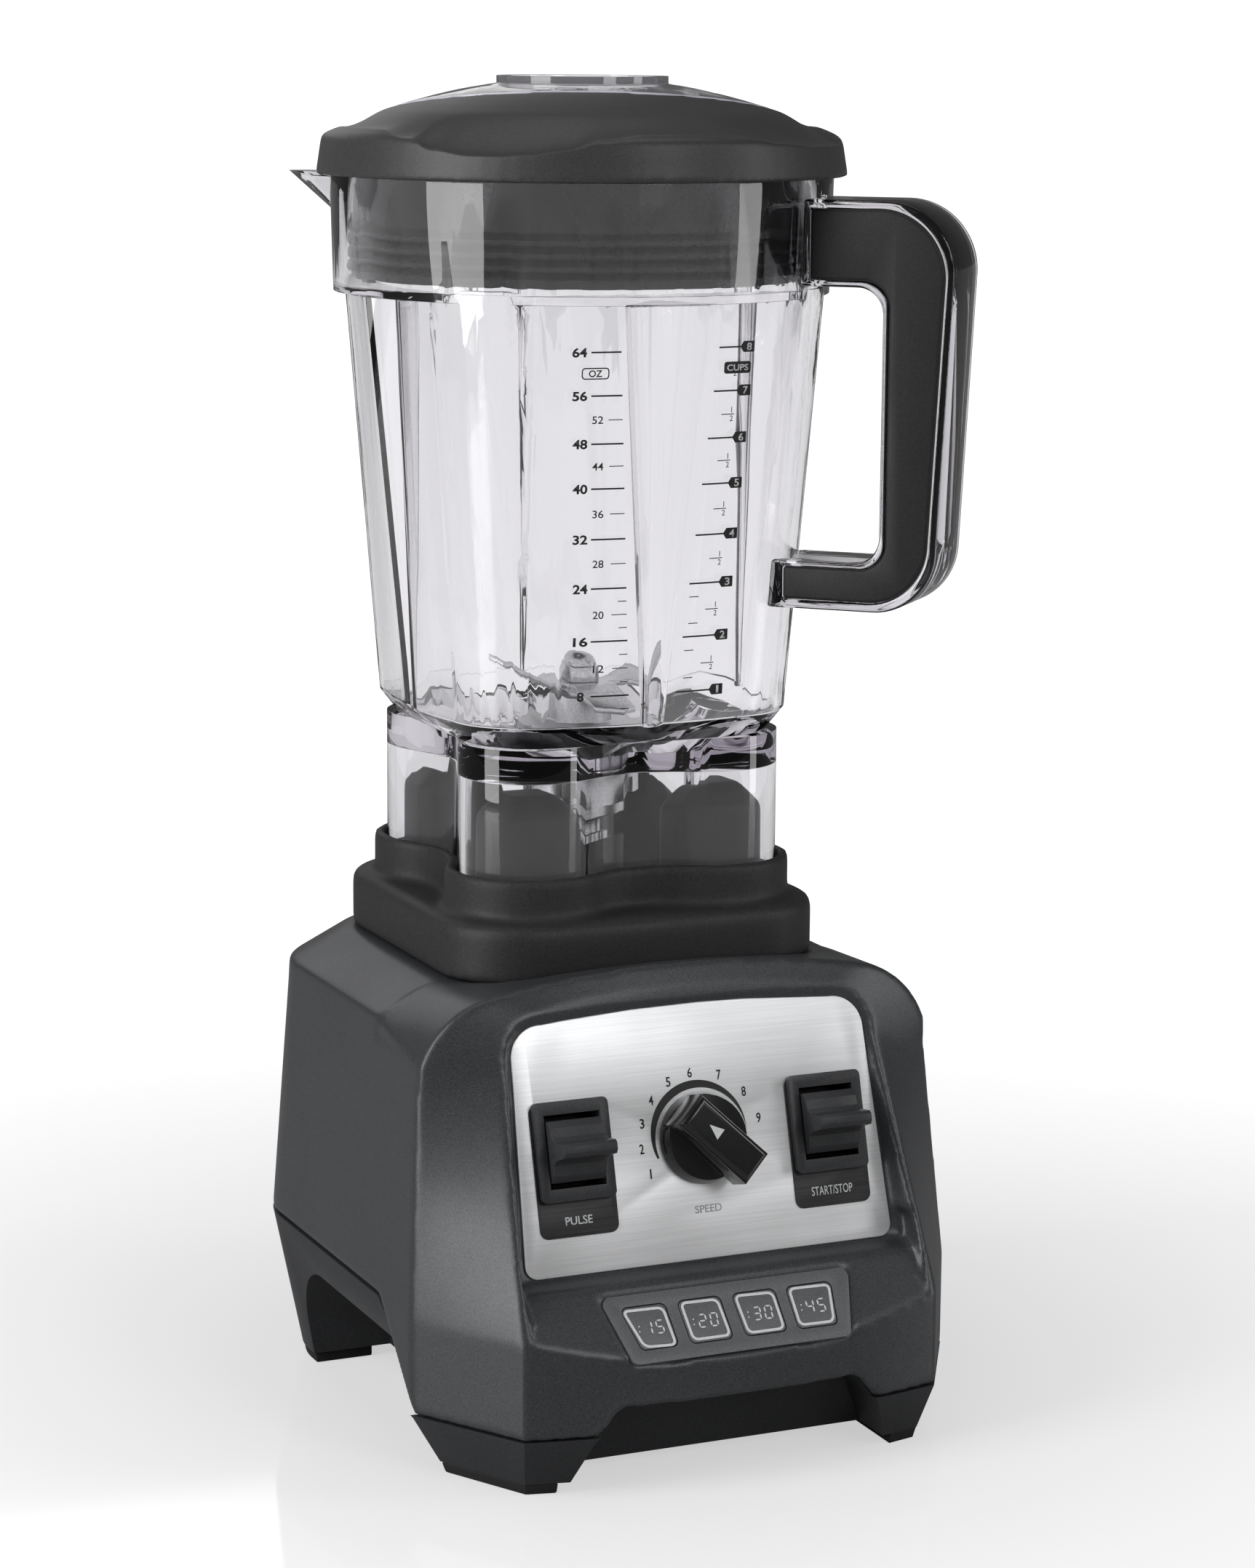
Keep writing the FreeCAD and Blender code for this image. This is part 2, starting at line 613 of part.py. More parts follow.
def housing_screws():
    """Self-tapping screws: four up through the bottom cover, four through the motor's bushes."""
    screws = []
    for side in (-1, 1):
        for (x, y), top in SCREW_POSTS:
            seat = top - SCREW_SEAT
            head = rod(SCREW_HEAD_R, seat - 3.0, seat, side * x, y)
            shank = rod(SCREW_R - 0.05, seat - 1.0, seat + 16.0, side * x, y)
            drive = box(side * x - 2.2, side * x + 2.2, y - 0.5, y + 0.5, seat - 4.0, seat - 2.0)
            screws.append(head.fuse(shank).cut(drive))
        for end in (-1, 1):
            x, y = side * MOUNT_AT[0], end * MOUNT_AT[1]
            shank = rod(SCREW_R - 0.05, BRACKET_Z[0] - 2, BRACKET_Z[1] + 12, x, y)
            screws.append(shank.fuse(rod(SCREW_HEAD_R, BRACKET_Z[0] - 3, BRACKET_Z[0], x, y)))
    return Part.makeCompound(screws)


# ---------------------------------------------------------------- jar cushion
def lobed_wire(z, at, r, waist):
    """A square of four lobes joined by hollow arcs, at one level."""
    hollow = (at ** 2 + (waist - at) ** 2 - r ** 2) / (2 * (r - (waist - at)))
    centre = V(0, waist + hollow, 0)
    toward = V(at, at, 0) - centre
    touch = centre + toward * (hollow / toward.Length)
    edges = []
    for k in range(4):
        a = math.radians(-90 * k)

        def spin(p):
            return V(p.x * math.cos(a) - p.y * math.sin(a), p.x * math.sin(a) + p.y * math.cos(a), z)

        start, end = spin(V(-touch.x, touch.y, 0)), spin(touch)
        edges.append(arc(start, spin(V(0, waist, 0)), end))
        reach = at * math.sqrt(2) + r
        tip = spin(V(reach * math.sqrt(0.5), reach * math.sqrt(0.5), 0))
        edges.append(arc(end, tip, spin(V(touch.y, touch.x, 0))))
    return Part.Wire(edges)


def lobed(z0, z1, grow):
    wire = lobed_wire(z0, SKIRT_LOBE_AT, SKIRT_LOBE_R + grow, SKIRT_WAIST + grow)
    return Part.Face(wire).extrude(V(0, 0, z1 - z0))


def jar_pad():
    low = pad_outline(0.0, DECK_Z, DECK_Z + 8)
    base = rounded_box(-PAD_HALF, PAD_HALF, -PAD_HALF, PAD_HALF, DECK_Z, PAD_TOP_Z, PAD_CORNER_R)
    rim = [e for e in base.Edges if abs(e.BoundBox.ZMin - PAD_TOP_Z) < 0.01]
    base = base.makeFillet(4.0, rim)
    body = base.fuse(low)
    lip = lobed(PAD_TOP_Z - 4, PAD_LIP_Z, LIP_THICK + 0.5)
    body = body.fuse(lip.common(rounded_box(-PAD_HALF, PAD_HALF, -PAD_HALF, PAD_HALF,
                                            DECK_Z, PAD_LIP_Z, PAD_CORNER_R)))
    body = body.cut(lobed(PAD_FLOOR_Z, PAD_LIP_Z + 5, 0.5))
    for x in (-1, 1):
        for y in (-1, 1):
            post = rounded_box(x * POST_AT - POST_HALF, x * POST_AT + POST_HALF,
                               y * POST_AT - POST_HALF, y * POST_AT + POST_HALF,
                               PAD_FLOOR_Z - 5, POST_TOP_Z, 9.0)
            top = [e for e in post.Edges if abs(e.BoundBox.ZMin - POST_TOP_Z) < 0.01]
            body = body.fuse(post.makeChamfer(7.5, top))
    body = body.cut(rod(PAD_HOLE_R, DECK_Z - 5, PAD_LIP_Z + 5))
    return body.cut(lobed_sleeve())


def lobed_sleeve():
    """Room for the jar's skirt around the posts."""
    outer = lobed(PAD_FLOOR_Z, POST_TOP_Z + 5, 0.5)
    inner = lobed(PAD_FLOOR_Z - 1, POST_TOP_Z + 6, -JAR_WALL - 0.5)
    return outer.cut(inner)


# ---------------------------------------------------------------- control panel pieces
def timer_outline(grow):
    g = grow
    return [(-TIMER_HALF - g, g), (TIMER_HALF + g, g), (TIMER_HALF_LOW + g, -TIMER_TALL - g),
            (-TIMER_HALF_LOW - g, -TIMER_TALL - g)]


def timer_prism(grow, n0, n1):
    return prism([V(x, s, n0) for x, s in timer_outline(grow)], V(0, 0, n1 - n0))


# left and right edges of the four keys: x at the top and at the bottom of each
KEYS = {"timer_button_15": (-40.0, -23.2, -35.8, -22.0),
        "timer_button_20": (-19.2, -3.2, -18.0, -2.2),
        "timer_button_30": (0.8, 17.0, 2.0, 17.6),
        "timer_button_45": (20.8, 38.1, 21.2, 36.2)}


def key_prism(edges, shrink, n0, n1):
    top_left, top_right, low_left, low_right = edges
    g = shrink
    outline = [(top_left + g, KEY_TOP - g), (top_right - g, KEY_TOP - g),
               (low_right - g, KEY_LOW + g), (low_left + g, KEY_LOW + g)]
    solid = prism([V(x, s, n0) for x, s in outline], V(0, 0, n1 - n0))
    upright = [e for e in solid.Edges if abs(e.tangentAt(e.FirstParameter).z) > 0.99]
    return solid.makeFillet(2.0 + (0.0 if g else KEY_GAP), upright)


def timer_plate():
    plate = timer_prism(0.0, -TIMER_THICK, 0.0)
    upright = [e for e in plate.Edges if abs(e.tangentAt(e.FirstParameter).z) > 0.99]
    plate = plate.makeFillet(3.0, upright)
    for edges in KEYS.values():
        plate = plate.cut(key_prism(edges, 0.0, -3.0, 1.0))
    return on_timer(plate)


def timer_button(edges):
    cap = key_prism(edges, KEY_GAP, -TIMER_THICK + 0.1, 0.0)
    x = (edges[0] + edges[1]) / 2
    stem = Part.makeCylinder(1.6, 2.2, V(x, (KEY_TOP + KEY_LOW) / 2, -TIMER_THICK - 1.9))
    return on_timer(cap.fuse(stem))


def timer_board():
    deep = -TIMER_THICK - 8.0
    board = box(-40, 38, -22, -2, deep, deep + 1.6)
    return on_timer(board)


def timer_switches():
    """Four small push switches on the timer board, one under each key."""
    low = -TIMER_THICK - 6.4
    parts = []
    for edges in KEYS.values():
        x = (edges[0] + edges[1]) / 2
        s = (KEY_TOP + KEY_LOW) / 2
        body = box(x - 3, x + 3, s - 3, s + 3, low, low + 2.6)
        parts.append(on_timer(body.fuse(Part.makeCylinder(1.4, 3.5, V(x, s, low)))))
    return Part.makeCompound(parts)


def control_panel():
    plate = Part.Face(panel_wire(0.0, -PANEL_THICK)).extrude(V(0, 0, PANEL_THICK))
    plate = on_panel(plate)
    return plate.cut(switch_hole(SEAM_GAP, -12.0, 5.0)).cut(knob_hole(6.0, -12.0, 5.0))


def label_plates():
    """A dark plate under each switch, which carries its label."""
    w = LABEL_WIDE / 2
    plates = []
    for side in (-1, 1):
        plate = rounded_box(side * SWITCH_X - w, side * SWITCH_X + w, LABEL_LOW, LABEL_LOW + LABEL_TALL,
                            0.0, LABEL_THICK, 3.0)
        plates.append(on_panel(plate).cut(switch_hole(SEAM_GAP, -12.0, 5.0)))
    return Part.makeCompound(plates)


def switch_frame(side):
    """The moulded surround of a paddle, with a box that goes through the panel."""
    w, t = SWITCH_WINDOW[0] / 2, SWITCH_WINDOW[1] / 2
    bw, bt = SWITCH_BORDER
    x, s = side * SWITCH_X, SWITCH_UP
    face = rounded_box(x - w - bw, x + w + bw, s - t - bt, s + t + bt, LABEL_THICK,
                       SWITCH_FRAME_REACH, 2.0)
    wall = SWITCH_BOX_WALL
    body = box(x - w - wall, x + w + wall, s - t - wall, s + t + wall, -SWITCH_BOX_DEEP, LABEL_THICK)
    window = box(x - w, x + w, s - t, s + t, -SWITCH_BOX_DEEP - 1, SWITCH_FRAME_REACH + 1)
    hole = Part.makeCylinder(SWITCH_PIN_R, 60, V(x - 30, s, -SWITCH_PIVOT_DEEP), V(1, 0, 0))
    return on_panel(face.fuse(body).cut(window).cut(hole))


def switch_paddle(side):
    """A rocking paddle with a finger lever across its middle."""
    h = PADDLE_HALF_TALL
    p = -SWITCH_PIVOT_DEEP
    fin = PADDLE_FIN_REACH
    outline = [(-h, 1.5), (-h, 3.6), (-h + 2.2, 5.6), (-4.4, 6.8), (-3.0, 9.0), (-2.2, fin - 1),
               (-0.8, fin), (1.4, fin), (2.4, fin - 1), (3.2, 9.0), (4.6, 7.4),
               (h - 2.2, 6.6), (h, 4.6), (h, 1.5), (4.0, p - 2.5), (-4.0, p - 2.5)]
    half = SWITCH_WINDOW[0] / 2 - 0.5
    x = side * SWITCH_X
    body = prism([V(x - half, SWITCH_UP + s, n) for s, n in outline], V(2 * half, 0, 0))
    bore = Part.makeCylinder(SWITCH_PIN_R + BEARING_GAP, 60, V(x - 30, SWITCH_UP, p), V(1, 0, 0))
    return on_panel(body.cut(bore))


def switch_pins():
    """The steel pivot pins of the two paddles."""
    length = SWITCH_WINDOW[0] + 2 * SWITCH_BOX_WALL
    pins = []
    for side in (-1, 1):
        start = V(side * SWITCH_X - length / 2, SWITCH_UP, -SWITCH_PIVOT_DEEP)
        pins.append(on_panel(Part.makeCylinder(SWITCH_PIN_R, length, start, V(1, 0, 0))))
    return Part.makeCompound(pins)


def switch_blocks():
    """The two electrical switches that clip on behind the frames."""
    top = -SWITCH_BOX_DEEP
    blocks = []
    for x in (-SWITCH_X, SWITCH_X):
        body = box(x - 9, x + 9, SWITCH_UP - 12, SWITCH_UP + 12, top - 14, top)
        tabs = [box(x - 6 + 5 * k, x - 4 + 5 * k, SWITCH_UP - 1, SWITCH_UP + 1, top - 20, top - 14)
                for k in range(3)]
        blocks.append(on_panel(fuse([body] + tabs)))
    return Part.makeCompound(blocks)


def knob_body():
    """A round skirt with a grip bar across it, on the potentiometer's shaft."""
    skirt = Part.makeCone(KNOB_R, KNOB_R - 1.2, 5.0, V(KNOB_X, KNOB_UP, 0.6))
    half = KNOB_BAR_WIDE / 2
    bar = box(-KNOB_R + 1.0, KNOB_R + 1.6, -half, half, 5.0, KNOB_REACH)
    top = [e for e in bar.Edges if e.BoundBox.ZMin > KNOB_REACH - 0.1]
    bar = bar.makeFillet(2.5, top)
    bar.rotate(V(0, 0, 0), V(0, 0, 1), KNOB_POINTS + 180)
    bar.translate(V(KNOB_X, KNOB_UP, 0))
    bore = Part.makeCylinder(POT_SHAFT_R, 10.0, V(KNOB_X, KNOB_UP, 0.0))
    return on_panel(skirt.fuse(bar).cut(bore))


def pot_shaft():
    return on_panel(Part.makeCylinder(POT_SHAFT_R, 20.0, V(KNOB_X, KNOB_UP, -10.0)))


def speed_control():
    """The potentiometer behind the panel; its bushing carries the shaft."""
    can = Part.makeCylinder(9.0, 8.0, V(KNOB_X, KNOB_UP, -14.0))
    bushing = Part.makeCylinder(5.0, 6.0, V(KNOB_X, KNOB_UP, -6.0))
    tabs = [box(KNOB_X - 6 + 5 * k, KNOB_X - 4 + 5 * k, KNOB_UP - 14, KNOB_UP - 8, -12.0, -11.2)
            for k in range(3)]
    bore = Part.makeCylinder(POT_SHAFT_R + BEARING_GAP, 20.0, V(KNOB_X, KNOB_UP, -10.3))
    return on_panel(fuse([can, bushing] + tabs).cut(bore))


# ---------------------------------------------------------------- electrics
def control_board():
    return box(-40, 40, -76.0, -74.4, 60, 125)


def board_parts():
    """Heat sink, capacitor and relay, each soldered to the back of the board."""
    sink = box(-34, -10, -74.4, -71.4, 68, 112)
    fins = [box(-34 + 4.6 * k, -32.5 + 4.6 * k, -71.4, -60.0, 68, 112) for k in range(6)]
    can = Part.makeCylinder(8.0, 16.0, V(6, -74.4, 80), V(0, 1, 0))
    relay = box(18, 36, -74.4, -60.0, 96, 118)
    return Part.makeCompound([fuse([sink] + fins), can, relay])


def cord_gland():
    """A rubber bush in the rear wall: a flange outside, a collar inside."""
    outside = BASE_REAR - 0.6
    flange = gland_rod(GLAND_R, outside, outside + 1.7)
    neck = gland_rod(GLAND_R - 2.7, outside - 8.0, outside)
    collar = gland_rod(GLAND_R, outside - 8.0, outside - 8.0 + 2.6)
    return fuse([flange, neck, collar]).cut(gland_rod(GLAND_BORE_R, 40.0, 100.0))


# ---------------------------------------------------------------- motor
def motor_stator():
    low, high = STATOR_Z
    stack = rounded_box(-STATOR_HALF, STATOR_HALF, -STATOR_HALF, STATOR_HALF, low, high, 12.0)
    stack = stack.cut(rod(STATOR_BORE_R, low - 1, high + 1))
    for side in (-1, 1):
        mid_y = side * COIL_AT
        stack = stack.cut(box(-20, 20, mid_y - 6, mid_y + 6, low - 1, high + 1))
    return stack.cut(motor_bolt_holes(2.2, low - 1, high + 1))


def motor_bolt_holes(r, z0, z1):
    return fuse([rod(r, z0, z1, x * BOLT_AT, y * BOLT_AT) for x in (-1, 1) for y in (-1, 1)])


def field_coils():
    """Two copper windings, one through each pair of stator pockets."""
    coils = []
    for side in (-1, 1):
        mid_y = side * COIL_AT
        slab = box(-19.5, 19.5, mid_y - 5.5, mid_y + 5.5, STATOR_Z[0] - 9, STATOR_Z[1] + 9)
        coils.append(slab.makeFillet(4.0, slab.Edges))
    return Part.makeCompound(coils)


def bracket(z0, z1, half_x, half_y, bearing_r):
    plate = rounded_box(-half_x, half_x, -half_y, half_y, z0, z1, 10.0)
    hub = rod(bearing_r + 3.0, z0, z1 + 5.0)
    body = plate.fuse(hub).cut(rod(bearing_r, z0 + 1.5, z1 + 6.0)).cut(rod(SHAFT_R + 2, z0 - 1, z1 + 6))
    for side in (-1, 1):
        body = body.cut(rounded_box(side * 30 - 8, side * 30 + 8, -20, 20, z0 - 1, z1 + 1, 6.0))
    return body.cut(motor_bolt_holes(2.2, z0 - 1, z1 + 1))


def upper_bracket():
    plate = bracket(BRACKET_Z[0], BRACKET_Z[1], 62.0, 48.0, 13.0)
    for x in (-1, 1):
        for y in (-1, 1):
            plate = plate.cut(rod(SCREW_R + 0.3, 100, 160, x * MOUNT_AT[0], y * MOUNT_AT[1]))
    return plate


def lower_bracket():
    return bracket(LOW_BRACKET_Z[0], LOW_BRACKET_Z[1], 46.0, 46.0, 11.0)


def bearing(r_out, r_in, z0, z1):
    ring = tube(r_out, r_in, z0, z1)
    groove_r = (r_out + r_in) / 2
    groove = tube(groove_r + 1.2, groove_r - 1.2, z1 - 0.6, z1 + 1)
    return ring.cut(groove)


def motor_bearings():
    return Part.makeCompound([
        bearing(13.0, SHAFT_R + BEARING_GAP, BRACKET_Z[0] + 1.5, BRACKET_Z[1] + 5.0),
        bearing(11.0, SHAFT_R + BEARING_GAP, LOW_BRACKET_Z[0] + 1.5, LOW_BRACKET_Z[1] + 5.0)])


def motor_bolts():
    """Long bolts that clamp the two brackets on the stator."""
    bolts = []
    for x in (-1, 1):
        for y in (-1, 1):
            shank = rod(2.0, LOW_BRACKET_Z[0] - 3, BRACKET_Z[1] + 2, x * BOLT_AT, y * BOLT_AT)
            head = rod(4.0, LOW_BRACKET_Z[0] - 4, LOW_BRACKET_Z[0], x * BOLT_AT, y * BOLT_AT)
            nut = rod(4.0, BRACKET_Z[1], BRACKET_Z[1] + 3, x * BOLT_AT, y * BOLT_AT)
            bolts.append(fuse([shank, head, nut]))
    return Part.makeCompound(bolts)


def motor_spacers():
    """Tubes that hold the brackets at their distance from the stator."""
    parts = []
    for x in (-1, 1):
        for y in (-1, 1):
            for z0, z1 in ((LOW_BRACKET_Z[1], STATOR_Z[0]), (STATOR_Z[1], BRACKET_Z[0])):
                parts.append(tube(3.6, 2.2, z0, z1, x * BOLT_AT, y * BOLT_AT))
    return Part.makeCompound(parts)


def motor_mounts():
    """Rubber bushes between the upper bracket and the housing's bosses."""
    return Part.makeCompound([
        tube(6.5, SCREW_R + 0.3, BRACKET_Z[1], BRACKET_Z[1] + 4.0, x * MOUNT_AT[0], y * MOUNT_AT[1])
        for x in (-1, 1) for y in (-1, 1)])


def brush_holders():
    low, high = COMMUTATOR_Z
    mid = (low + high) / 2
    parts = []
    for side in (-1, 1):
        x0, x1 = sorted((side * (COMMUTATOR_R + 2.5), side * 42.0))
        sleeve = box(x0, x1, -5.0, 5.0, mid - 6.0, mid + 6.0)
        slot = box(x0 - 1, x1 + 1, -3.2, 3.2, mid - 4.2, mid + 4.2)
        leg0, leg1 = sorted((side * 39.0, side * 42.0))
        leg = box(leg0, leg1, -5.0, 5.0, LOW_BRACKET_Z[1], mid - 5.0)
        parts.append(sleeve.fuse(leg).cut(slot))
    return Part.makeCompound(parts)


def carbon_brushes():
    mid = sum(COMMUTATOR_Z) / 2
    parts = []
    for side in (-1, 1):
        x0, x1 = sorted((side * (COMMUTATOR_R - 1), side * 34.0))
        block = box(x0, x1, -3.1, 3.1, mid - 4.1, mid + 4.1)
        parts.append(block.cut(rod(COMMUTATOR_R + BRUSH_GAP, mid - 10, mid + 10)))
    return Part.makeCompound(parts)


def fan_shroud():
    """A ring that guides the cooling air into the fan, screwed to the bottom cover."""
    ring = tube(SHROUD_R + 2.0, SHROUD_R, FOOT_TALL + WALL, FAN_Z[1] + 3.0)
    flange = tube(SHROUD_R + 8.0, SHROUD_R, FOOT_TALL + WALL, FOOT_TALL + WALL + 2.0)
    return ring.fuse(flange)


def motor_shaft():
    return rod(SHAFT_R, FAN_Z[0] - 6.0, COUPLING_LOW_Z + 9.0)


def armature_core():
    low, high = STATOR_Z
    core = rod(ARMATURE_R, low, high)
    slots = [turned(box(ARMATURE_R - 7.0, ARMATURE_R + 1, -1.6, 1.6, low - 1, high + 1), 30 * k)
             for k in range(12)]
    return core.cut(fuse(slots)).cut(rod(SHAFT_R, low - 1, high + 1))


def armature_windings():
    low, high = STATOR_Z
    rounded = []
    for z0, z1 in ((high, high + 9.0), (low - 8.0, low)):
        end = tube(WINDING_R, SHAFT_R + 3, z0, z1)
        rounded.append(end.makeFillet(2.5, [e for e in end.Edges if e.BoundBox.XMax > WINDING_R - 1]))
    return Part.makeCompound(rounded)


def commutator():
    low, high = COMMUTATOR_Z
    body = tube(COMMUTATOR_R, SHAFT_R, low, high)
    grooves = [turned(box(COMMUTATOR_R - 1.2, COMMUTATOR_R + 1, -0.3, 0.3, low - 1, high + 1), 22.5 * k)
               for k in range(16)]
    return body.cut(fuse(grooves))


def cooling_fan():
    low, high = FAN_Z
    hub = tube(11.0, SHAFT_R, low, high)
    disc = tube(FAN_R - 1, SHAFT_R, low, low + 2.0)
    blade = box(9.0, FAN_R, -1.0, 1.0, low, high)
    blades = [turned(blade, 360.0 * k / FAN_BLADES) for k in range(FAN_BLADES)]
    return fuse([hub, disc] + blades).cut(rod(SHAFT_R, low - 1, high + 1))


def spline(r, root, z0, z1):
    """A toothed drive profile; its teeth repeat every quarter turn."""
    points = []
    step = 2 * math.pi / SPLINE_TEETH
    for k in range(SPLINE_TEETH):
        for frac, radius in ((-0.32, root), (-0.18, r), (0.18, r), (0.32, root)):
            a = (k + frac) * step
            points.append(V(radius * math.cos(a), radius * math.sin(a), z0))
    return prism(points, V(0, 0, z1 - z0))


def drive_coupling():
    body = rod(COUPLING_R, COUPLING_LOW_Z + 6, COUPLING_TOP_Z)
    body = body.fuse(rod(9.0, COUPLING_LOW_Z, COUPLING_TOP_Z))
    socket = spline(SPLINE_R + SPLINE_GAP, SPLINE_ROOT_R + SPLINE_GAP, SPLINE_LOW_Z - 3,
                    COUPLING_TOP_Z + 1)
    return body.cut(socket).cut(rod(SHAFT_R, COUPLING_LOW_Z - 1, COUPLING_LOW_Z + 9.0))


# ---------------------------------------------------------------- jar
def body_wire(z, half, r, bulge):
    """A rounded square with slightly bowed sides."""
    k = r * (1 - math.sqrt(0.5))
    edges = []
    for turn in range(4):
        a = math.radians(-90 * turn)

        def spin(x, y):
            return V(x * math.cos(a) - y * math.sin(a), x * math.sin(a) + y * math.cos(a), z)

        side_a, side_b = spin(-half + r, half), spin(half - r, half)
        edges.append(arc(side_a, spin(0, half + bulge), side_b))
        edges.append(arc(side_b, spin(half - k, half - k), spin(half, half - r)))
    return Part.Wire(edges)


def flutes(grow):
    """Upright V-shaped grooves in the middle of each side, deeper towards the top as the sides lean out."""
    r = FLUTE_R + grow
    centre = FLUTE_IN + FLUTE_R
    a = math.radians(FLUTE_SPREAD)
    z = BODY_LOW_Z - 8.0
    touch_x, touch_y = r * math.cos(a), centre - r * math.sin(a)
    wide = 40.0
    far_x, far_y = touch_x + wide * math.sin(a), touch_y + wide * math.cos(a)
    outline = Part.Wire([
        arc(V(-touch_x, -touch_y, z), V(0, -(centre - r), z), V(touch_x, -touch_y, z)),
        line(V(touch_x, -touch_y, z), V(far_x, -far_y, z)),
        line(V(far_x, -far_y, z), V(-far_x, -far_y, z)),
        line(V(-far_x, -far_y, z), V(-touch_x, -touch_y, z))])
    groove = Part.Face(outline).extrude(V(0, 0, BODY_TOP_Z - 4.0 + grow / 2 - z))
    return fuse([turned(groove, 90 * k) for k in range(4)])


def jar_outside():
    """The jar without its hollows: skirt, body and neck."""
    skirt = lobed(SKIRT_LOW_Z, BODY_LOW_Z - 8, 0.0)
    corner = SKIRT_LOBE_AT + SKIRT_LOBE_R
    foot_body = loft([body_wire(BODY_LOW_Z - 8, corner - 3, SKIRT_LOBE_R, 0.5),
                      body_wire(BODY_LOW_Z, BODY_HALF_LOW, BODY_CORNER_LOW, BODY_BULGE)])
    body = loft([body_wire(BODY_LOW_Z, BODY_HALF_LOW, BODY_CORNER_LOW, BODY_BULGE),
                 body_wire(BODY_TOP_Z, BODY_HALF_TOP, BODY_CORNER_TOP, BODY_BULGE)])
    body = foot_body.fuse(body).cut(flutes(0.0))
    neck = Part.makeCone(NECK_R, NECK_R_TOP, RIM_Z - BODY_TOP_Z + JAR_WALL, V(0, 0, BODY_TOP_Z - JAR_WALL))
    return fuse([skirt, body, neck])


def spout_shape(inset):
    """A pouring lip on the jar's rim, pointing along +X before it is turned."""
    t = inset
    top = SPOUT_TOP_Z + (5.0 if t else 0.0)
    tip = SPOUT_REACH - 1.6 * t
    upper = [(70.0, -SPOUT_HALF + t), (tip - 6, -5.5 + t), (tip, 0.0), (tip - 6, 5.5 - t),
             (70.0, SPOUT_HALF - t)]
    root = SPOUT_ROOT_Z + 1.5 * t
    lower = [(70.0, -9.0 + t), (NECK_R - 1.5, -2.5 + 0.5 * t), (NECK_R - 0.5, 0.0),
             (NECK_R - 1.5, 2.5 - 0.5 * t), (70.0, 9.0 - t)]
    return loft([polygon([V(x, y, top) for x, y in upper]), polygon([V(x, y, root) for x, y in lower])])


def jar():
    outside = jar_outside().fuse(turned(spout_shape(0.0), HANDLE_TURN + 180))
    low = body_wire(JAR_FLOOR_Z, 38.0, 20.0, 1.0)
    mid = body_wire(BODY_LOW_Z, BODY_HALF_LOW - JAR_WALL, BODY_CORNER_LOW - JAR_WALL, BODY_BULGE)
    high = body_wire(BODY_TOP_Z + 1, BODY_HALF_TOP - JAR_WALL, BODY_CORNER_TOP - JAR_WALL, BODY_BULGE)
    cavity = loft([low, mid, high]).cut(flutes(JAR_WALL))
    mouth = Part.makeCone(NECK_R - JAR_WALL, NECK_R_TOP - JAR_WALL, RIM_Z - BODY_TOP_Z + 1,
                          V(0, 0, BODY_TOP_Z))
    socket = lobed(SKIRT_LOW_Z - 1, JAR_FLOOR_LOW_Z, -JAR_WALL)
    hollow = fuse([cavity, mouth, turned(spout_shape(SPOUT_WALL), HANDLE_TURN + 180)])
    vessel = outside.cut(hollow).cut(socket)
    return vessel.cut(rod(BARREL_R + 0.1, JAR_FLOOR_LOW_Z - 5, JAR_FLOOR_Z + 5))


def handle_outline(inset, end_in):
    """The handle's outline as (radius, z) pairs with its rounded outer corners."""
    t = inset
    out, top, low = HANDLE_OUT - t, HANDLE_TOP_Z - t, HANDLE_LOW_Z + t
    r_top, r_low = 24.0 - 0.4 * t, 22.0 - 0.4 * t
    k_top, k_low = r_top * (1 - math.sqrt(0.5)), r_low * (1 - math.sqrt(0.5))
    heel = 4.5

    def at(h, z):
        return V(h, 0, z)

    gi, gt, gl = GRIP_IN + 0.7 * t, GRIP_TOP_Z + 0.7 * t, GRIP_LOW_Z - 0.7 * t
    r_in = 9.0
    k_in = r_in * (1 - math.sqrt(0.5))
    return Part.Wire([
        line(at(end_in, top), at(out - r_top, top)),
        arc(at(out - r_top, top), at(out - k_top, top - k_top), at(out, top - r_top)),
        line(at(out, top - r_top), at(out - heel, low + r_low)),
        arc(at(out - heel, low + r_low), at(out - heel - k_low, low + k_low), at(out - heel - r_low, low)),
        line(at(out - heel - r_low, low), at(end_in - 8.0, low)),
        line(at(end_in - 8.0, low), at(end_in - 8.0, gl)),
        line(at(end_in - 8.0, gl), at(gi - r_in, gl)),
        arc(at(gi - r_in, gl), at(gi - k_in, gl + k_in), at(gi, gl + r_in)),
        line(at(gi, gl + r_in), at(gi, gt - r_in)),
        arc(at(gi, gt - r_in), at(gi - k_in, gt - k_in), at(gi - r_in, gt)),
        line(at(gi - r_in, gt), at(end_in, gt)),
        line(at(end_in, gt), at(end_in, top))])


def handle_slab(inset, end_in, y0, y1):
    slab = Part.Face(handle_outline(inset, end_in)).extrude(V(0, y1 - y0, 0))
    slab.translate(V(0, y0, 0))
    return slab


def jar_handle():
    """The clear C of the handle, with a pocket in each face for its grips."""
    half = HANDLE_THICK / 2
    slab = handle_slab(0.0, 70.0, -half, half)
    for y0, y1 in ((-half - 1, -half + GRIP_THICK), (half - GRIP_THICK, half + 1)):
        slab = slab.cut(handle_slab(GRIP_EDGE, GRIP_END, y0, y1))
    return turned(slab, HANDLE_TURN).cut(jar_outside())


def handle_grip(side):
    half = HANDLE_THICK / 2
    y0, y1 = sorted((side * (half - GRIP_THICK), side * half))
    slab = handle_slab(GRIP_EDGE + GRIP_GAP, GRIP_END + GRIP_GAP, y0, y1)
    return turned(slab, HANDLE_TURN).cut(jar_outside())


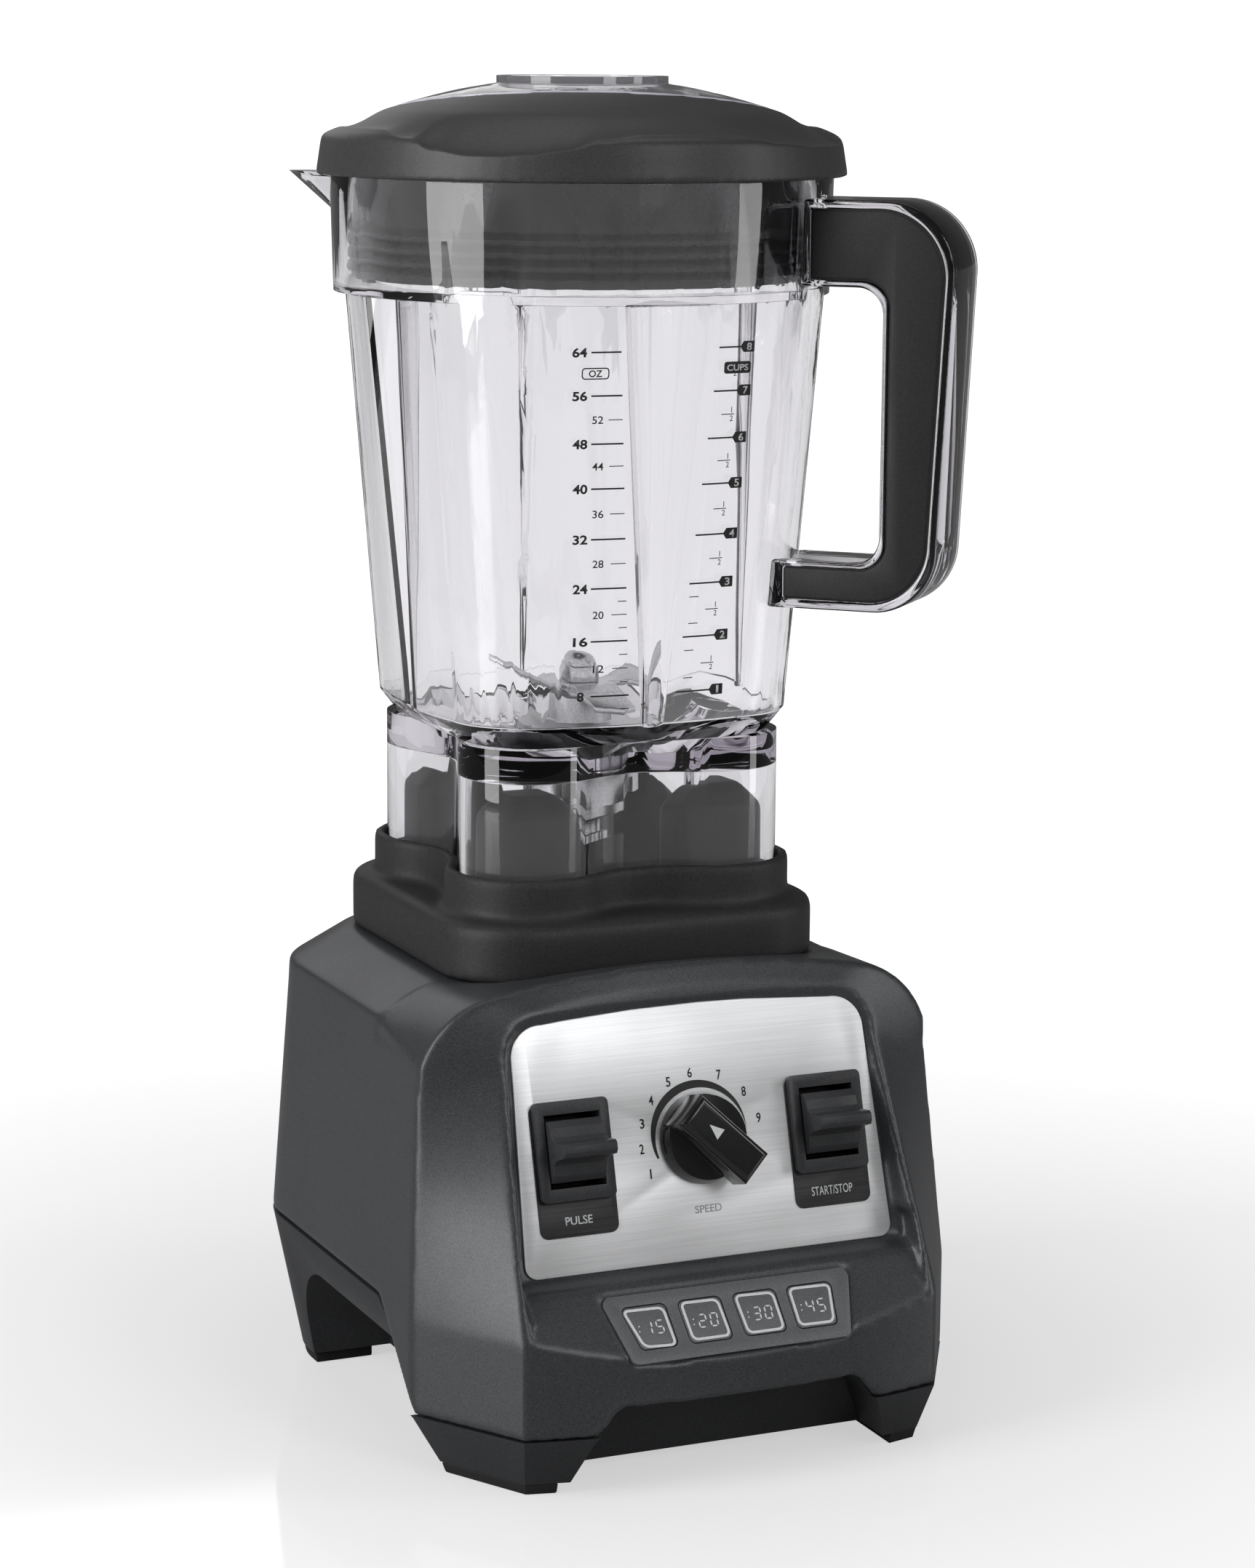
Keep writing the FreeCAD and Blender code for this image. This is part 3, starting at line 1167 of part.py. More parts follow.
# ---------------------------------------------------------------- blade assembly
def bearing_housing():
    barrel = rod(BARREL_R, BARREL_LOW_Z, JAR_FLOOR_Z + 2)
    flange = rod(FLANGE_R, JAR_FLOOR_Z + 1.0, JAR_FLOOR_Z + 5.0)
    nose = rod(11.0, JAR_FLOOR_Z + 2, BARREL_TOP_Z)
    body = fuse([barrel, flange, nose])
    body = body.cut(rod(9.0, BARREL_LOW_Z - 1, BARREL_LOW_Z + 10))
    body = body.cut(rod(9.0, BARREL_TOP_Z - 8, BARREL_TOP_Z + 1))
    return body.cut(rod(BLADE_SHAFT_R + 1.0, BARREL_LOW_Z - 1, BARREL_TOP_Z + 1))


def flange_gasket():
    return tube(FLANGE_R, BARREL_R + 0.1, JAR_FLOOR_Z, JAR_FLOOR_Z + 1.0)


def retaining_nut():
    ring = rod(NUT_R, NUT_LOW_Z, JAR_FLOOR_LOW_Z)
    notch = box(NUT_R - 2.0, NUT_R + 1, -3, 3, NUT_LOW_Z - 1, NUT_LOW_Z + 5)
    notches = [turned(notch, 60 * k) for k in range(6)]
    return ring.cut(rod(BARREL_R, NUT_LOW_Z - 1, JAR_FLOOR_LOW_Z + 1)).cut(fuse(notches))


def blade_bearings():
    return Part.makeCompound([
        tube(9.0, BLADE_SHAFT_R + BEARING_GAP, BARREL_LOW_Z + 3, BARREL_LOW_Z + 10),
        tube(9.0, BLADE_SHAFT_R + BEARING_GAP, BARREL_TOP_Z - 8, BARREL_TOP_Z - 1)])


def blade_shaft():
    rod_part = rod(BLADE_SHAFT_R, SPLINE_TOP_Z - 1, BLADE_Z + 10)
    return rod_part.fuse(spline(SPLINE_R, SPLINE_ROOT_R, SPLINE_LOW_Z, SPLINE_TOP_Z))


def blade_wing(reach, tilt, wide):
    """One arm of the blade: a flat root and a tip bent up or down."""
    bend = 14.0
    rise = math.tan(math.radians(tilt))
    t = BLADE_THICK
    outline = [(0.0, 0.0), (bend, 0.0), (reach, (reach - bend) * rise), (reach, (reach - bend) * rise + t),
               (bend, t), (0.0, t)]
    arm = prism([V(x, -wide / 2, BLADE_Z + z) for x, z in outline], V(0, wide, 0))
    sweep = prism([V(0, -wide / 2, BLADE_Z - 40), V(reach * 0.9, -wide / 2, BLADE_Z - 40),
                   V(reach, wide * 0.15, BLADE_Z - 40), V(reach - 4, wide / 2, BLADE_Z - 40),
                   V(0, wide / 2, BLADE_Z - 40)], V(0, 0, 90))
    return arm.common(sweep)


def blade():
    up = blade_wing(BLADE_REACH, BLADE_UP, BLADE_WIDE)
    down = blade_wing(BLADE_REACH - 3.0, -BLADE_DOWN, BLADE_WIDE)
    arms = [up, turned(up, 180), turned(down, 90), turned(down, 270)]
    hub = rod(9.0, BLADE_Z - 1.5, BLADE_Z + BLADE_THICK)
    return fuse([hub] + arms).cut(rod(BLADE_SHAFT_R, BLADE_Z - 5, BLADE_Z + 20))


def blade_nut():
    nut = rod(6.5, BLADE_Z + BLADE_THICK, BLADE_Z + 8)
    dome = Part.makeSphere(5.6, V(0, 0, BLADE_Z + 8)).common(box(-9, 9, -9, 9, BLADE_Z + 6, BLADE_Z + 20))
    return nut.fuse(dome).cut(rod(BLADE_SHAFT_R, BLADE_Z, BLADE_Z + 10))


# ---------------------------------------------------------------- lid and filler cap
DOME_SAG = LID_DOME_TOP_Z - LID_RIM_Z
DOME_EDGE_R = LID_R - 2.1
DOME_R = (DOME_EDGE_R ** 2 + DOME_SAG ** 2) / (2 * DOME_SAG)
DOME_CENTRE = V(0, 0, LID_DOME_TOP_Z - DOME_R)


def dome(depth):
    return Part.makeSphere(DOME_R - depth, DOME_CENTRE)


def vesica(grow, z0, z1):
    """The cap's pointed oval, long way along X."""
    a, b = CAP_HALF_LONG + grow, CAP_HALF_WIDE + grow
    left, right = V(-a, 0, z0), V(a, 0, z0)
    wire = Part.Wire([arc(left, V(0, b, z0), right), arc(right, V(0, -b, z0), left)])
    return Part.Face(wire).extrude(V(0, 0, z1 - z0))


def lid():
    rim = Part.makeCone(LID_R, DOME_EDGE_R, LID_RIM_Z - LID_EDGE_Z, V(0, 0, LID_EDGE_Z))
    crown = dome(0.0).common(rod(DOME_EDGE_R, LID_RIM_Z - 1, LID_DOME_TOP_Z + 1))
    solid = rim.fuse(crown)
    inside = dome(CAP_THICK + CAP_GAP + LID_WALL).common(rod(NECK_R_TOP + RIM_GAP, RIM_Z, LID_DOME_TOP_Z))
    inside = inside.fuse(rod(NECK_R_TOP + RIM_GAP, LID_EDGE_Z - 1, RIM_Z + 1))
    solid = solid.cut(inside)
    seat = vesica(CAP_GAP, LID_RIM_Z - 5, CAP_TOP_Z + 5).cut(dome(CAP_THICK + CAP_GAP))
    solid = solid.cut(seat).cut(rod(CAP_WELL_R + CAP_GAP, LID_EDGE_Z, CAP_TOP_Z + 5))
    return turned(solid, LID_TURN)


def lid_gasket():
    """The soft plug under the lid, with sealing lips against the jar's neck."""
    inner = GASKET_R - GASKET_WALL
    sleeve = tube(GASKET_R, inner, GASKET_LOW_Z, LID_DOME_TOP_Z)
    sleeve = sleeve.common(dome(CAP_THICK + CAP_GAP + LID_WALL))
    flange = tube(NECK_R_TOP, inner, RIM_Z + RIM_GAP, RIM_Z + RIM_GAP + 3)
    parts = [sleeve, flange]
    for k in range(GASKET_LIPS):
        z = GASKET_LOW_Z + 3.0 + 4.2 * k
        parts.append(Part.makeCone(NECK_R - JAR_WALL - 0.4, GASKET_R, 2.4, V(0, 0, z)).cut(
            rod(GASKET_R - 1, z - 1, z + 4)))
    return fuse(parts)


def fill_cap():
    """The clear cap: a domed pointed oval with a round well that plugs the lid."""
    shell = vesica(0.0, LID_RIM_Z - 5, CAP_TOP_Z + 5).common(dome(0.0).cut(dome(CAP_THICK)))
    well_in = CAP_WELL_R - 2.5
    well = tube(CAP_WELL_R, well_in, CAP_WELL_LOW_Z, CAP_TOP_Z)
    floor = rod(CAP_WELL_R, CAP_WELL_LOW_Z, CAP_WELL_LOW_Z + 2.5)
    body = shell.fuse(well).cut(rod(well_in, CAP_WELL_LOW_Z + 2, CAP_TOP_Z + 5)).fuse(floor)
    return turned(body, LID_TURN)


# ---------------------------------------------------------------- all pieces
FOOT_WINDOWS = {"front": (61.5, 100.0, -150.0, -94.4), "rear": (68.5, 100.0, 28.0, 90.0)}

PIECES = {
    "base_housing": base_housing,
    "bottom_cover": bottom_cover,
    "foot_front_left": lambda: foot(-1, FRONT_SCREW, FOOT_WINDOWS["front"]),
    "foot_front_right": lambda: foot(1, FRONT_SCREW, FOOT_WINDOWS["front"]),
    "foot_rear_left": lambda: foot(-1, REAR_SCREW, FOOT_WINDOWS["rear"]),
    "foot_rear_right": lambda: foot(1, REAR_SCREW, FOOT_WINDOWS["rear"]),
    "housing_screws": housing_screws,
    "jar_pad": jar_pad,
    "control_panel": control_panel,
    "label_plates": label_plates,
    "pulse_switch_frame": lambda: switch_frame(-1),
    "start_switch_frame": lambda: switch_frame(1),
    "pulse_paddle": lambda: switch_paddle(-1),
    "start_paddle": lambda: switch_paddle(1),
    "switch_pivot_pins": switch_pins,
    "switch_blocks": switch_blocks,
    "speed_knob": knob_body,
    "speed_control_shaft": pot_shaft,
    "speed_control": speed_control,
    "timer_plate": timer_plate,
    "timer_board": timer_board,
    "timer_switches": timer_switches,
    "control_board": control_board,
    "board_components": board_parts,
    "cord_gland": cord_gland,
    "motor_stator": motor_stator,
    "field_coils": field_coils,
    "upper_bracket": upper_bracket,
    "lower_bracket": lower_bracket,
    "motor_bearings": motor_bearings,
    "motor_bolts": motor_bolts,
    "motor_spacers": motor_spacers,
    "motor_mounts": motor_mounts,
    "brush_holders": brush_holders,
    "carbon_brushes": carbon_brushes,
    "fan_shroud": fan_shroud,
    "motor_shaft": motor_shaft,
    "armature_core": armature_core,
    "armature_windings": armature_windings,
    "commutator": commutator,
    "cooling_fan": cooling_fan,
    "drive_coupling": drive_coupling,
    "jar": jar,
    "jar_handle": jar_handle,
    "handle_grip_left": lambda: handle_grip(-1),
    "handle_grip_right": lambda: handle_grip(1),
    "blade_bearing_housing": bearing_housing,
    "flange_gasket": flange_gasket,
    "retaining_nut": retaining_nut,
    "blade_bearings": blade_bearings,
    "blade_shaft": blade_shaft,
    "blade": blade,
    "blade_nut": blade_nut,
    "lid": lid,
    "lid_gasket": lid_gasket,
    "fill_cap": fill_cap,
}
for key_name, key_edges in KEYS.items():
    PIECES[key_name] = lambda e=key_edges: timer_button(e)


def export_all():
    os.makedirs("parts", exist_ok=True)
    made = {name: build() for name, build in PIECES.items()}
    whole = FreeCAD.BoundBox()
    for shape in made.values():
        whole.add(shape.BoundBox)
    shift = V(-(whole.XMin + whole.XMax) / 2, -(whole.YMin + whole.YMax) / 2, -whole.ZMin)
    print("spindle moved by", round(shift.x, 3), round(shift.y, 3), round(shift.z, 3))
    for name, shape in made.items():
        solids = shape.Solids
        placed = solids[0].copy() if len(solids) == 1 else Part.makeCompound([s.copy() for s in solids])
        placed.translate(shift)
        placed.exportStep(os.path.join("parts", name + ".step"))
        print(name, "solids", len(solids), "volume", round(shape.Volume), "valid", shape.isValid())


export_all()
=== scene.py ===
import math

import bpy
from mathutils import Matrix, Vector


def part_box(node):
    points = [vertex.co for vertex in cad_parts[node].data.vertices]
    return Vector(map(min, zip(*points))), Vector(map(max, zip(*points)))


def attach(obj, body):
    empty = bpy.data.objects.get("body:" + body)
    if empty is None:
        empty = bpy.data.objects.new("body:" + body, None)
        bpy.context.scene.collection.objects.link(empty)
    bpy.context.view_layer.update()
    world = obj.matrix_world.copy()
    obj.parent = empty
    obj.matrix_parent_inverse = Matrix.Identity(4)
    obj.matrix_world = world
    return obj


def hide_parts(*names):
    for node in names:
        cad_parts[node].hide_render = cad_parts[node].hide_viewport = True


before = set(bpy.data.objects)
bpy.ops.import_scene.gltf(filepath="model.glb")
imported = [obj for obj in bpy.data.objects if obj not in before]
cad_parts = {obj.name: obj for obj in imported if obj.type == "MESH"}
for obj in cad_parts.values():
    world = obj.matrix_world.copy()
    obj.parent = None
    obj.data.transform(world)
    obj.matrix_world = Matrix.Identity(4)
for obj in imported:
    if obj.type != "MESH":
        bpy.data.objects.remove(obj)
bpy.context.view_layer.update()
bpy.ops.object.select_all(action="DESELECT")

# ---------------------------------------------------------------- studio
# The blender stands on a pale glossy table that runs up into a white backdrop. Soft panels
# light it from the left, the right and above. A small one in front brightens the steel, and
# a low wide one behind gives the top edges their sheen.
spindle = (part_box("drive_coupling")[0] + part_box("drive_coupling")[1]) / 2
spindle.z = 0.0


def at(x, y, z):
    """A point given in millimetres from the motor spindle at table height."""
    return spindle + Vector((x, y, z)) / 1000.0


def shader(name):
    """A new node material and its main shader."""
    made = bpy.data.materials.new(name)
    made.use_nodes = True
    return made, made.node_tree.nodes["Principled BSDF"]


CAMERA_PLACE = (-554.9, -1286.0, 473.55)
CAMERA_TURN, CAMERA_DOWN, CAMERA_ROLL = -24.04, 10.61, 0.4
camera = bpy.data.objects.new("camera", bpy.data.cameras.new("camera"))
bpy.context.scene.collection.objects.link(camera)
camera.matrix_world = (Matrix.Translation(at(*CAMERA_PLACE))
                       @ Matrix.Rotation(math.radians(CAMERA_TURN), 4, "Z")
                       @ Matrix.Rotation(math.radians(90.0 - CAMERA_DOWN), 4, "X")
                       @ Matrix.Rotation(math.radians(CAMERA_ROLL), 4, "Z"))
camera.data.lens = 92.46
camera.data.sensor_width = 36.0
bpy.context.scene.camera = camera
bpy.context.scene.view_settings.view_transform = "Standard"

bpy.ops.mesh.primitive_plane_add(size=40.0, location=(0.0, 8.0, 0.0))
floor = bpy.context.active_object
floor.name = "floor"
bpy.ops.object.mode_set(mode="EDIT")
bpy.ops.mesh.subdivide(number_cuts=1)
bpy.ops.object.mode_set(mode="OBJECT")
floor_paint, paint = shader("floor_paint")
paint.inputs["Base Color"].default_value = (0.35, 0.35, 0.35, 1)
paint.inputs["Roughness"].default_value = 0.06
paint.inputs["Emission Color"].default_value = (1, 1, 1, 1)
floor.data.materials.append(floor_paint)


SEEN_THROUGH = 0.74


def seen_brighter(tree, straight, around):
    """A strength that is full where seen, less through clear parts, and low as a light."""
    path = tree.nodes.new("ShaderNodeLightPath")
    through = tree.nodes.new("ShaderNodeMath")
    through.operation = "MULTIPLY"
    through.inputs[1].default_value = SEEN_THROUGH
    seen = tree.nodes.new("ShaderNodeMath")
    seen.operation = "MAXIMUM"
    dimmed = tree.nodes.new("ShaderNodeMapRange")
    dimmed.inputs["To Min"].default_value = around
    dimmed.inputs["To Max"].default_value = straight
    tree.links.new(path.outputs["Is Camera Ray"], seen.inputs[0])
    tree.links.new(path.outputs["Is Transmission Ray"], through.inputs[0])
    tree.links.new(through.outputs[0], seen.inputs[1])
    tree.links.new(seen.outputs[0], dimmed.inputs["Value"])
    return dimmed.outputs["Result"]


# The table's glow grows with the distance from the object until it meets the backdrop.
tree = floor_paint.node_tree
ground = tree.nodes.new("ShaderNodeTexCoord")
away = tree.nodes.new("ShaderNodeVectorMath")
away.operation = "DISTANCE"
away.inputs[1].default_value = spindle - floor.location
rise = tree.nodes.new("ShaderNodeMapRange")
rise.inputs["From Min"].default_value = 0.12
rise.inputs["From Max"].default_value = 0.8
rise.inputs["To Min"].default_value = 0.56
rise.inputs["To Max"].default_value = 1.1
glow = tree.nodes.new("ShaderNodeMath")
glow.operation = "MULTIPLY"
tree.links.new(ground.outputs["Object"], away.inputs[0])
tree.links.new(away.outputs["Value"], rise.inputs["Value"])
tree.links.new(rise.outputs["Result"], glow.inputs[0])
tree.links.new(seen_brighter(tree, straight=1.0, around=0.1), glow.inputs[1])
tree.links.new(glow.outputs[0], paint.inputs["Emission Strength"])

# The backdrop is white where it is seen straight or through the jar, and dimmer as a light.
world = bpy.data.worlds.new("studio")
world.use_nodes = True
sky = world.node_tree.nodes["Background"]
sky.inputs["Color"].default_value = (1, 1, 1, 1)
world.node_tree.links.new(seen_brighter(world.node_tree, straight=1.05, around=0.10),
                          sky.inputs["Strength"])
bpy.context.scene.world = world


def lamp(name, place, aim, size, power):
    """A soft panel of this width and height in metres and this many watts."""
    light = bpy.data.lights.new(name, "AREA")
    light.shape = "RECTANGLE"
    light.size, light.size_y = size
    light.energy = power
    holder = bpy.data.objects.new(name, light)
    bpy.context.scene.collection.objects.link(holder)
    holder.location = place
    holder.rotation_euler = (aim - place).to_track_quat("-Z", "Y").to_euler()
    holder.visible_camera = False
    holder.visible_transmission = False


middle = at(0, 0, 230)
lamp("left_panel", middle + Vector((-1.3, -0.2, 0.5)), middle, (0.7, 1.5), 20.0)
lamp("right_panel", middle + Vector((1.2, -0.8, 0.3)), middle, (0.35, 1.3), 6.0)
lamp("overhead_panel", middle + Vector((0.0, 0.1, 1.4)), middle, (1.2, 1.0), 3.5)
lamp("front_panel", middle + Vector((0.36, -1.5, 0.74)), at(0, -110, 110), (0.5, 0.7), 5.5)
lamp("rear_panel", middle + Vector((0.0, 1.6, 0.75)), at(0, 0, 150), (1.4, 0.6), 2.6)

# ---------------------------------------------------------------- base housing
# One injection moulding in charcoal plastic with a fine metal flake and a satin skin. The
# mould rounds all its edges. Screws from below hold it on the bottom cover.
HOUSING_GRID = 0.00135
FLAT_ANGLE = math.radians(2.0)
SHARP_ANGLE = math.radians(22.0)
SMOOTH_ANGLE = math.radians(30.0)


def pick(piece):
    """Make a piece the only one selected, and the active one."""
    bpy.ops.object.select_all(action="DESELECT")
    piece.select_set(True)
    bpy.context.view_layer.objects.active = piece


def work(piece, kind, **values):
    """Add a modifier with these values to a piece and apply it."""
    pick(piece)
    modifier = piece.modifiers.new(kind.lower(), kind)
    for field, value in values.items():
        setattr(modifier, field, value)
    bpy.ops.object.modifier_apply(modifier=modifier.name)


def moulding(node, name):
    """A piece with the shape of a CAD node, its loose triangles merged into one skin."""
    piece = bpy.data.objects.new(name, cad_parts[node].data.copy())
    bpy.context.scene.collection.objects.link(piece)
    piece.data.materials.clear()
    pick(piece)
    bpy.ops.object.mode_set(mode="EDIT")
    bpy.ops.mesh.select_all(action="SELECT")
    bpy.ops.mesh.remove_doubles(threshold=0.00002)
    bpy.ops.object.mode_set(mode="OBJECT")
    return piece


def eased(node, name, radius):
    """A moulding whose edges are rounded to a small radius."""
    piece = moulding(node, name)
    bpy.ops.object.mode_set(mode="EDIT")
    bpy.ops.mesh.select_all(action="SELECT")
    bpy.ops.mesh.dissolve_limited(angle_limit=FLAT_ANGLE)
    bpy.ops.object.mode_set(mode="OBJECT")
    work(piece, "BEVEL", width=radius, segments=3, limit_method="ANGLE",
         angle_limit=SHARP_ANGLE, use_clamp_overlap=True)
    bpy.ops.object.shade_smooth_by_angle(angle=SMOOTH_ANGLE)
    return piece


def softened(node, name, grid, rounds, keep=1.0):
    """A moulding with well rounded edges: an even skin, relaxed a few times, then thinned."""
    piece = moulding(node, name)
    work(piece, "REMESH", mode="VOXEL", voxel_size=grid)
    work(piece, "SMOOTH", factor=0.5, iterations=rounds)
    if keep < 1.0:
        work(piece, "DECIMATE", ratio=keep)
    bpy.ops.object.shade_smooth()
    return piece


def fit(piece, material, body, slot, *nodes):
    """A piece gets its material, the body it moves with, and its CAD nodes hidden. The slot is
    not used.
    """
    piece.data.materials.append(material)
    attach(piece, body)
    if nodes:
        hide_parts(*nodes)


def pattern(material, size, low, high, stretch=(1, 1, 1)):
    """A value between low and high that wanders over the piece in patches of this size."""
    tree = material.node_tree
    place = tree.nodes.new("ShaderNodeTexCoord")
    turn = tree.nodes.new("ShaderNodeMapping")
    turn.inputs["Scale"].default_value = stretch
    noise = tree.nodes.new("ShaderNodeTexNoise")
    noise.inputs["Scale"].default_value = 1.0 / size
    noise.inputs["Detail"].default_value = 3.0
    spread = tree.nodes.new("ShaderNodeMapRange")
    spread.inputs["From Min"].default_value = 0.3
    spread.inputs["From Max"].default_value = 0.7
    spread.inputs["To Min"].default_value = low
    spread.inputs["To Max"].default_value = high
    tree.links.new(place.outputs["Object"], turn.inputs["Vector"])
    tree.links.new(turn.outputs["Vector"], noise.inputs["Vector"])
    tree.links.new(noise.outputs["Fac"], spread.inputs["Value"])
    return spread.outputs["Result"]


TONE_GRAIN = 1.6
GLOSS_PATCH = 0.035


def finish(name, dark, light, rough, grain, relief, metal=0.0, stretch=(1, 1, 1), coat=0.0):
    """A material whose tone, gloss and surface all vary: grain is its size in metres."""
    material, skin = shader(name)
    tree = material.node_tree
    mix = tree.nodes.new("ShaderNodeMix")
    mix.data_type = "RGBA"
    for socket in mix.inputs:
        if socket.type == "RGBA":
            socket.default_value = (*(dark if socket.name == "A" else light), 1)
    tree.links.new(pattern(material, grain * TONE_GRAIN, 0.0, 1.0, stretch),
                   mix.inputs["Factor"])
    tree.links.new([s for s in mix.outputs if s.type == "RGBA"][0], skin.inputs["Base Color"])
    tree.links.new(pattern(material, GLOSS_PATCH, *rough), skin.inputs["Roughness"])
    bump = tree.nodes.new("ShaderNodeBump")
    bump.inputs["Strength"].default_value = 1.0
    bump.inputs["Distance"].default_value = relief
    tree.links.new(pattern(material, grain, 0.0, 1.0, stretch), bump.inputs["Height"])
    tree.links.new(bump.outputs["Normal"], skin.inputs["Normal"])
    skin.inputs["Metallic"].default_value = metal
    skin.inputs["Specular IOR Level"].default_value = 0.35
    skin.inputs["Coat Weight"].default_value = coat
    skin.inputs["Coat Roughness"].default_value = 0.25
    return material


flake_plastic = finish("flake_plastic", (0.030, 0.0315, 0.0345), (0.076, 0.0785, 0.084),
                       (0.36, 0.43), 0.00025, 0.0000035, metal=0.35, coat=0.15)
shell = softened("base_housing", "housing_shell", HOUSING_GRID, rounds=7, keep=0.66)
fit(shell, flake_plastic, "base", "housing", "base_housing")

# ---------------------------------------------------------------- bottom cover and feet
# The tray that closes the base from below is moulded in the same plastic, unpainted, and
# forms the legs. Four rubber feet push into its screw holes with a round plug each.
cover_plastic = finish("cover_plastic", (0.018, 0.019, 0.021), (0.032, 0.033, 0.036),
                       (0.40, 0.48), 0.0004, 0.000012)
tray = eased("bottom_cover", "bottom_tray", 0.0010)
fit(tray, cover_plastic, "base", "cover", "bottom_cover")

foot_rubber = finish("foot_rubber", (0.010, 0.010, 0.011), (0.018, 0.018, 0.019),
                     (0.7, 0.8), 0.0005, 0.00002)
for corner in ("front_left", "front_right", "rear_left", "rear_right"):
    foot = eased("foot_" + corner, "rubber_foot_" + corner, 0.0007)
    fit(foot, foot_rubber, "base", "foot_rubber", "foot_" + corner)

# ---------------------------------------------------------------- jar cushion
# A thick rubber moulding drops over the deck and hangs a little over its edge. A low wall
# follows the jar's skirt, and four hollow-sided posts inside it hold the jar square.
pad_rubber = finish("pad_rubber", (0.016, 0.016, 0.017), (0.028, 0.028, 0.029),
                    (0.50, 0.60), 0.0005, 0.00002)
cushion = softened("jar_pad", "jar_cushion", grid=0.0015, rounds=8)
fit(cushion, pad_rubber, "base", "pad_rubber", "jar_pad")

# ---------------------------------------------------------------- control panel
# A stainless plate brushed from side to side, glued into the housing's recess. A dark
# brushed plate with a fine bright border lies under each switch.
PANEL_LEAN = 15.8
PANEL_FOOT = at(0, -114.8, 69.7)
PANEL = (Matrix.Translation(PANEL_FOOT)
         @ Matrix.Rotation(math.radians(90.0 - PANEL_LEAN), 4, "X"))
brushed_steel = finish("brushed_steel", (0.74, 0.745, 0.755), (0.84, 0.845, 0.855),
                       (0.34, 0.42), 0.0003, 0.000005, metal=0.55, stretch=(0.012, 1, 1))
fit(eased("control_panel", "steel_panel", 0.0003), brushed_steel, "base", "panel_steel",
    "control_panel")
dark_brushed = finish("dark_brushed", (0.030, 0.030, 0.032), (0.056, 0.056, 0.059),
                      (0.35, 0.45), 0.0003, 0.000005, metal=0.4, stretch=(0.012, 1, 1))
fit(eased("label_plates", "switch_labels", 0.00012), dark_brushed, "base", "label_plate",
    "label_plates")


def settle(piece, matrix):
    """Put a piece built flat at the origin on its plane, with its place in its mesh."""
    piece.matrix_world = matrix
    pick(piece)
    bpy.ops.object.transform_apply(location=True, rotation=True, scale=True)
    return piece


def joined(pieces, name):
    """Several printed marks as one piece."""
    bpy.ops.object.select_all(action="DESELECT")
    for piece in pieces:
        piece.select_set(True)
    bpy.context.view_layer.objects.active = pieces[0]
    bpy.ops.object.join()
    whole = bpy.context.active_object
    whole.name = name
    return whole


def word(text, x, y, tall, wide=None, weight=0.0):
    """Flat characters this tall and wide in millimetres, centred on a point of the plane."""
    bpy.ops.object.text_add()
    piece = bpy.context.active_object
    piece.data.body = text
    piece.data.offset = weight
    piece.data.resolution_u = 4
    bpy.ops.object.convert(target="MESH")
    piece = bpy.context.active_object
    low = Vector([min(v.co[k] for v in piece.data.vertices) for k in range(3)])
    high = Vector([max(v.co[k] for v in piece.data.vertices) for k in range(3)])
    grow_y = tall / 1000.0 / (high.y - low.y)
    grow_x = wide / 1000.0 / (high.x - low.x) if wide else grow_y
    shift = Matrix.Translation((x / 1000.0, y / 1000.0, 0))
    return settle(piece, shift @ Matrix.Diagonal((grow_x, grow_y, 1, 1))
                  @ Matrix.Translation(-(low + high) / 2))


def patch(corners, radius=0.0, line=None):
    """A flat mark with these corners in millimetres: solid, or an outline line wide."""
    bpy.ops.mesh.primitive_plane_add(size=0.001)
    piece = bpy.context.active_object
    order = piece.data.polygons[0].vertices
    for vertex, (x, y) in zip(order, corners):
        piece.data.vertices[vertex].co = (x / 1000.0, y / 1000.0, 0)
    bpy.ops.object.mode_set(mode="EDIT")
    bpy.ops.mesh.select_all(action="SELECT")
    if radius:
        bpy.ops.mesh.bevel(offset=radius / 1000.0, segments=5, affect="VERTICES")
    if line:
        bpy.ops.mesh.select_all(action="SELECT")
        bpy.ops.mesh.inset(thickness=line / 1000.0)
        bpy.ops.mesh.delete(type="FACE")
    bpy.ops.object.mode_set(mode="OBJECT")
    return piece


def rectangle(x0, x1, y0, y1):
    """The corners of an upright rectangle, in order."""
    return [(x0, y0), (x1, y0), (x1, y1), (x0, y1)]


PRINT_LIFT, PRINT_THICK = 0.00003, 0.00006


def printed(marks, name, plane, lift, ink, body, slot):
    """Marks built flat become a print a hair thick, this many metres above their plane."""
    whole = joined(marks, name)
    work(whole, "SOLIDIFY", thickness=PRINT_THICK, offset=1.0)
    settle(whole, plane @ Matrix.Translation((0, 0, lift)))
    fit(whole, ink, body, slot)


dark_ink = finish("dark_ink", (0.012, 0.012, 0.013), (0.020, 0.020, 0.022),
                  (0.35, 0.5), 0.0004, 0.000003)
pale_ink = finish("pale_ink", (0.62, 0.63, 0.64), (0.74, 0.75, 0.76),
                  (0.35, 0.5), 0.0004, 0.000003)
grey_ink = finish("grey_ink", (0.33, 0.33, 0.34), (0.40, 0.40, 0.41),
                  (0.35, 0.5), 0.0004, 0.000003)
PLATE_THICK = 0.0004
printed([word("PULSE", -46.9, 17.9, 2.8, 9.75, 0.014),
         word("START/STOP", 46.6, 17.9, 3.0, 15.4, 0.0)], "switch_words", PANEL,
        PLATE_THICK + PRINT_LIFT, pale_ink, "base", "label_plate")

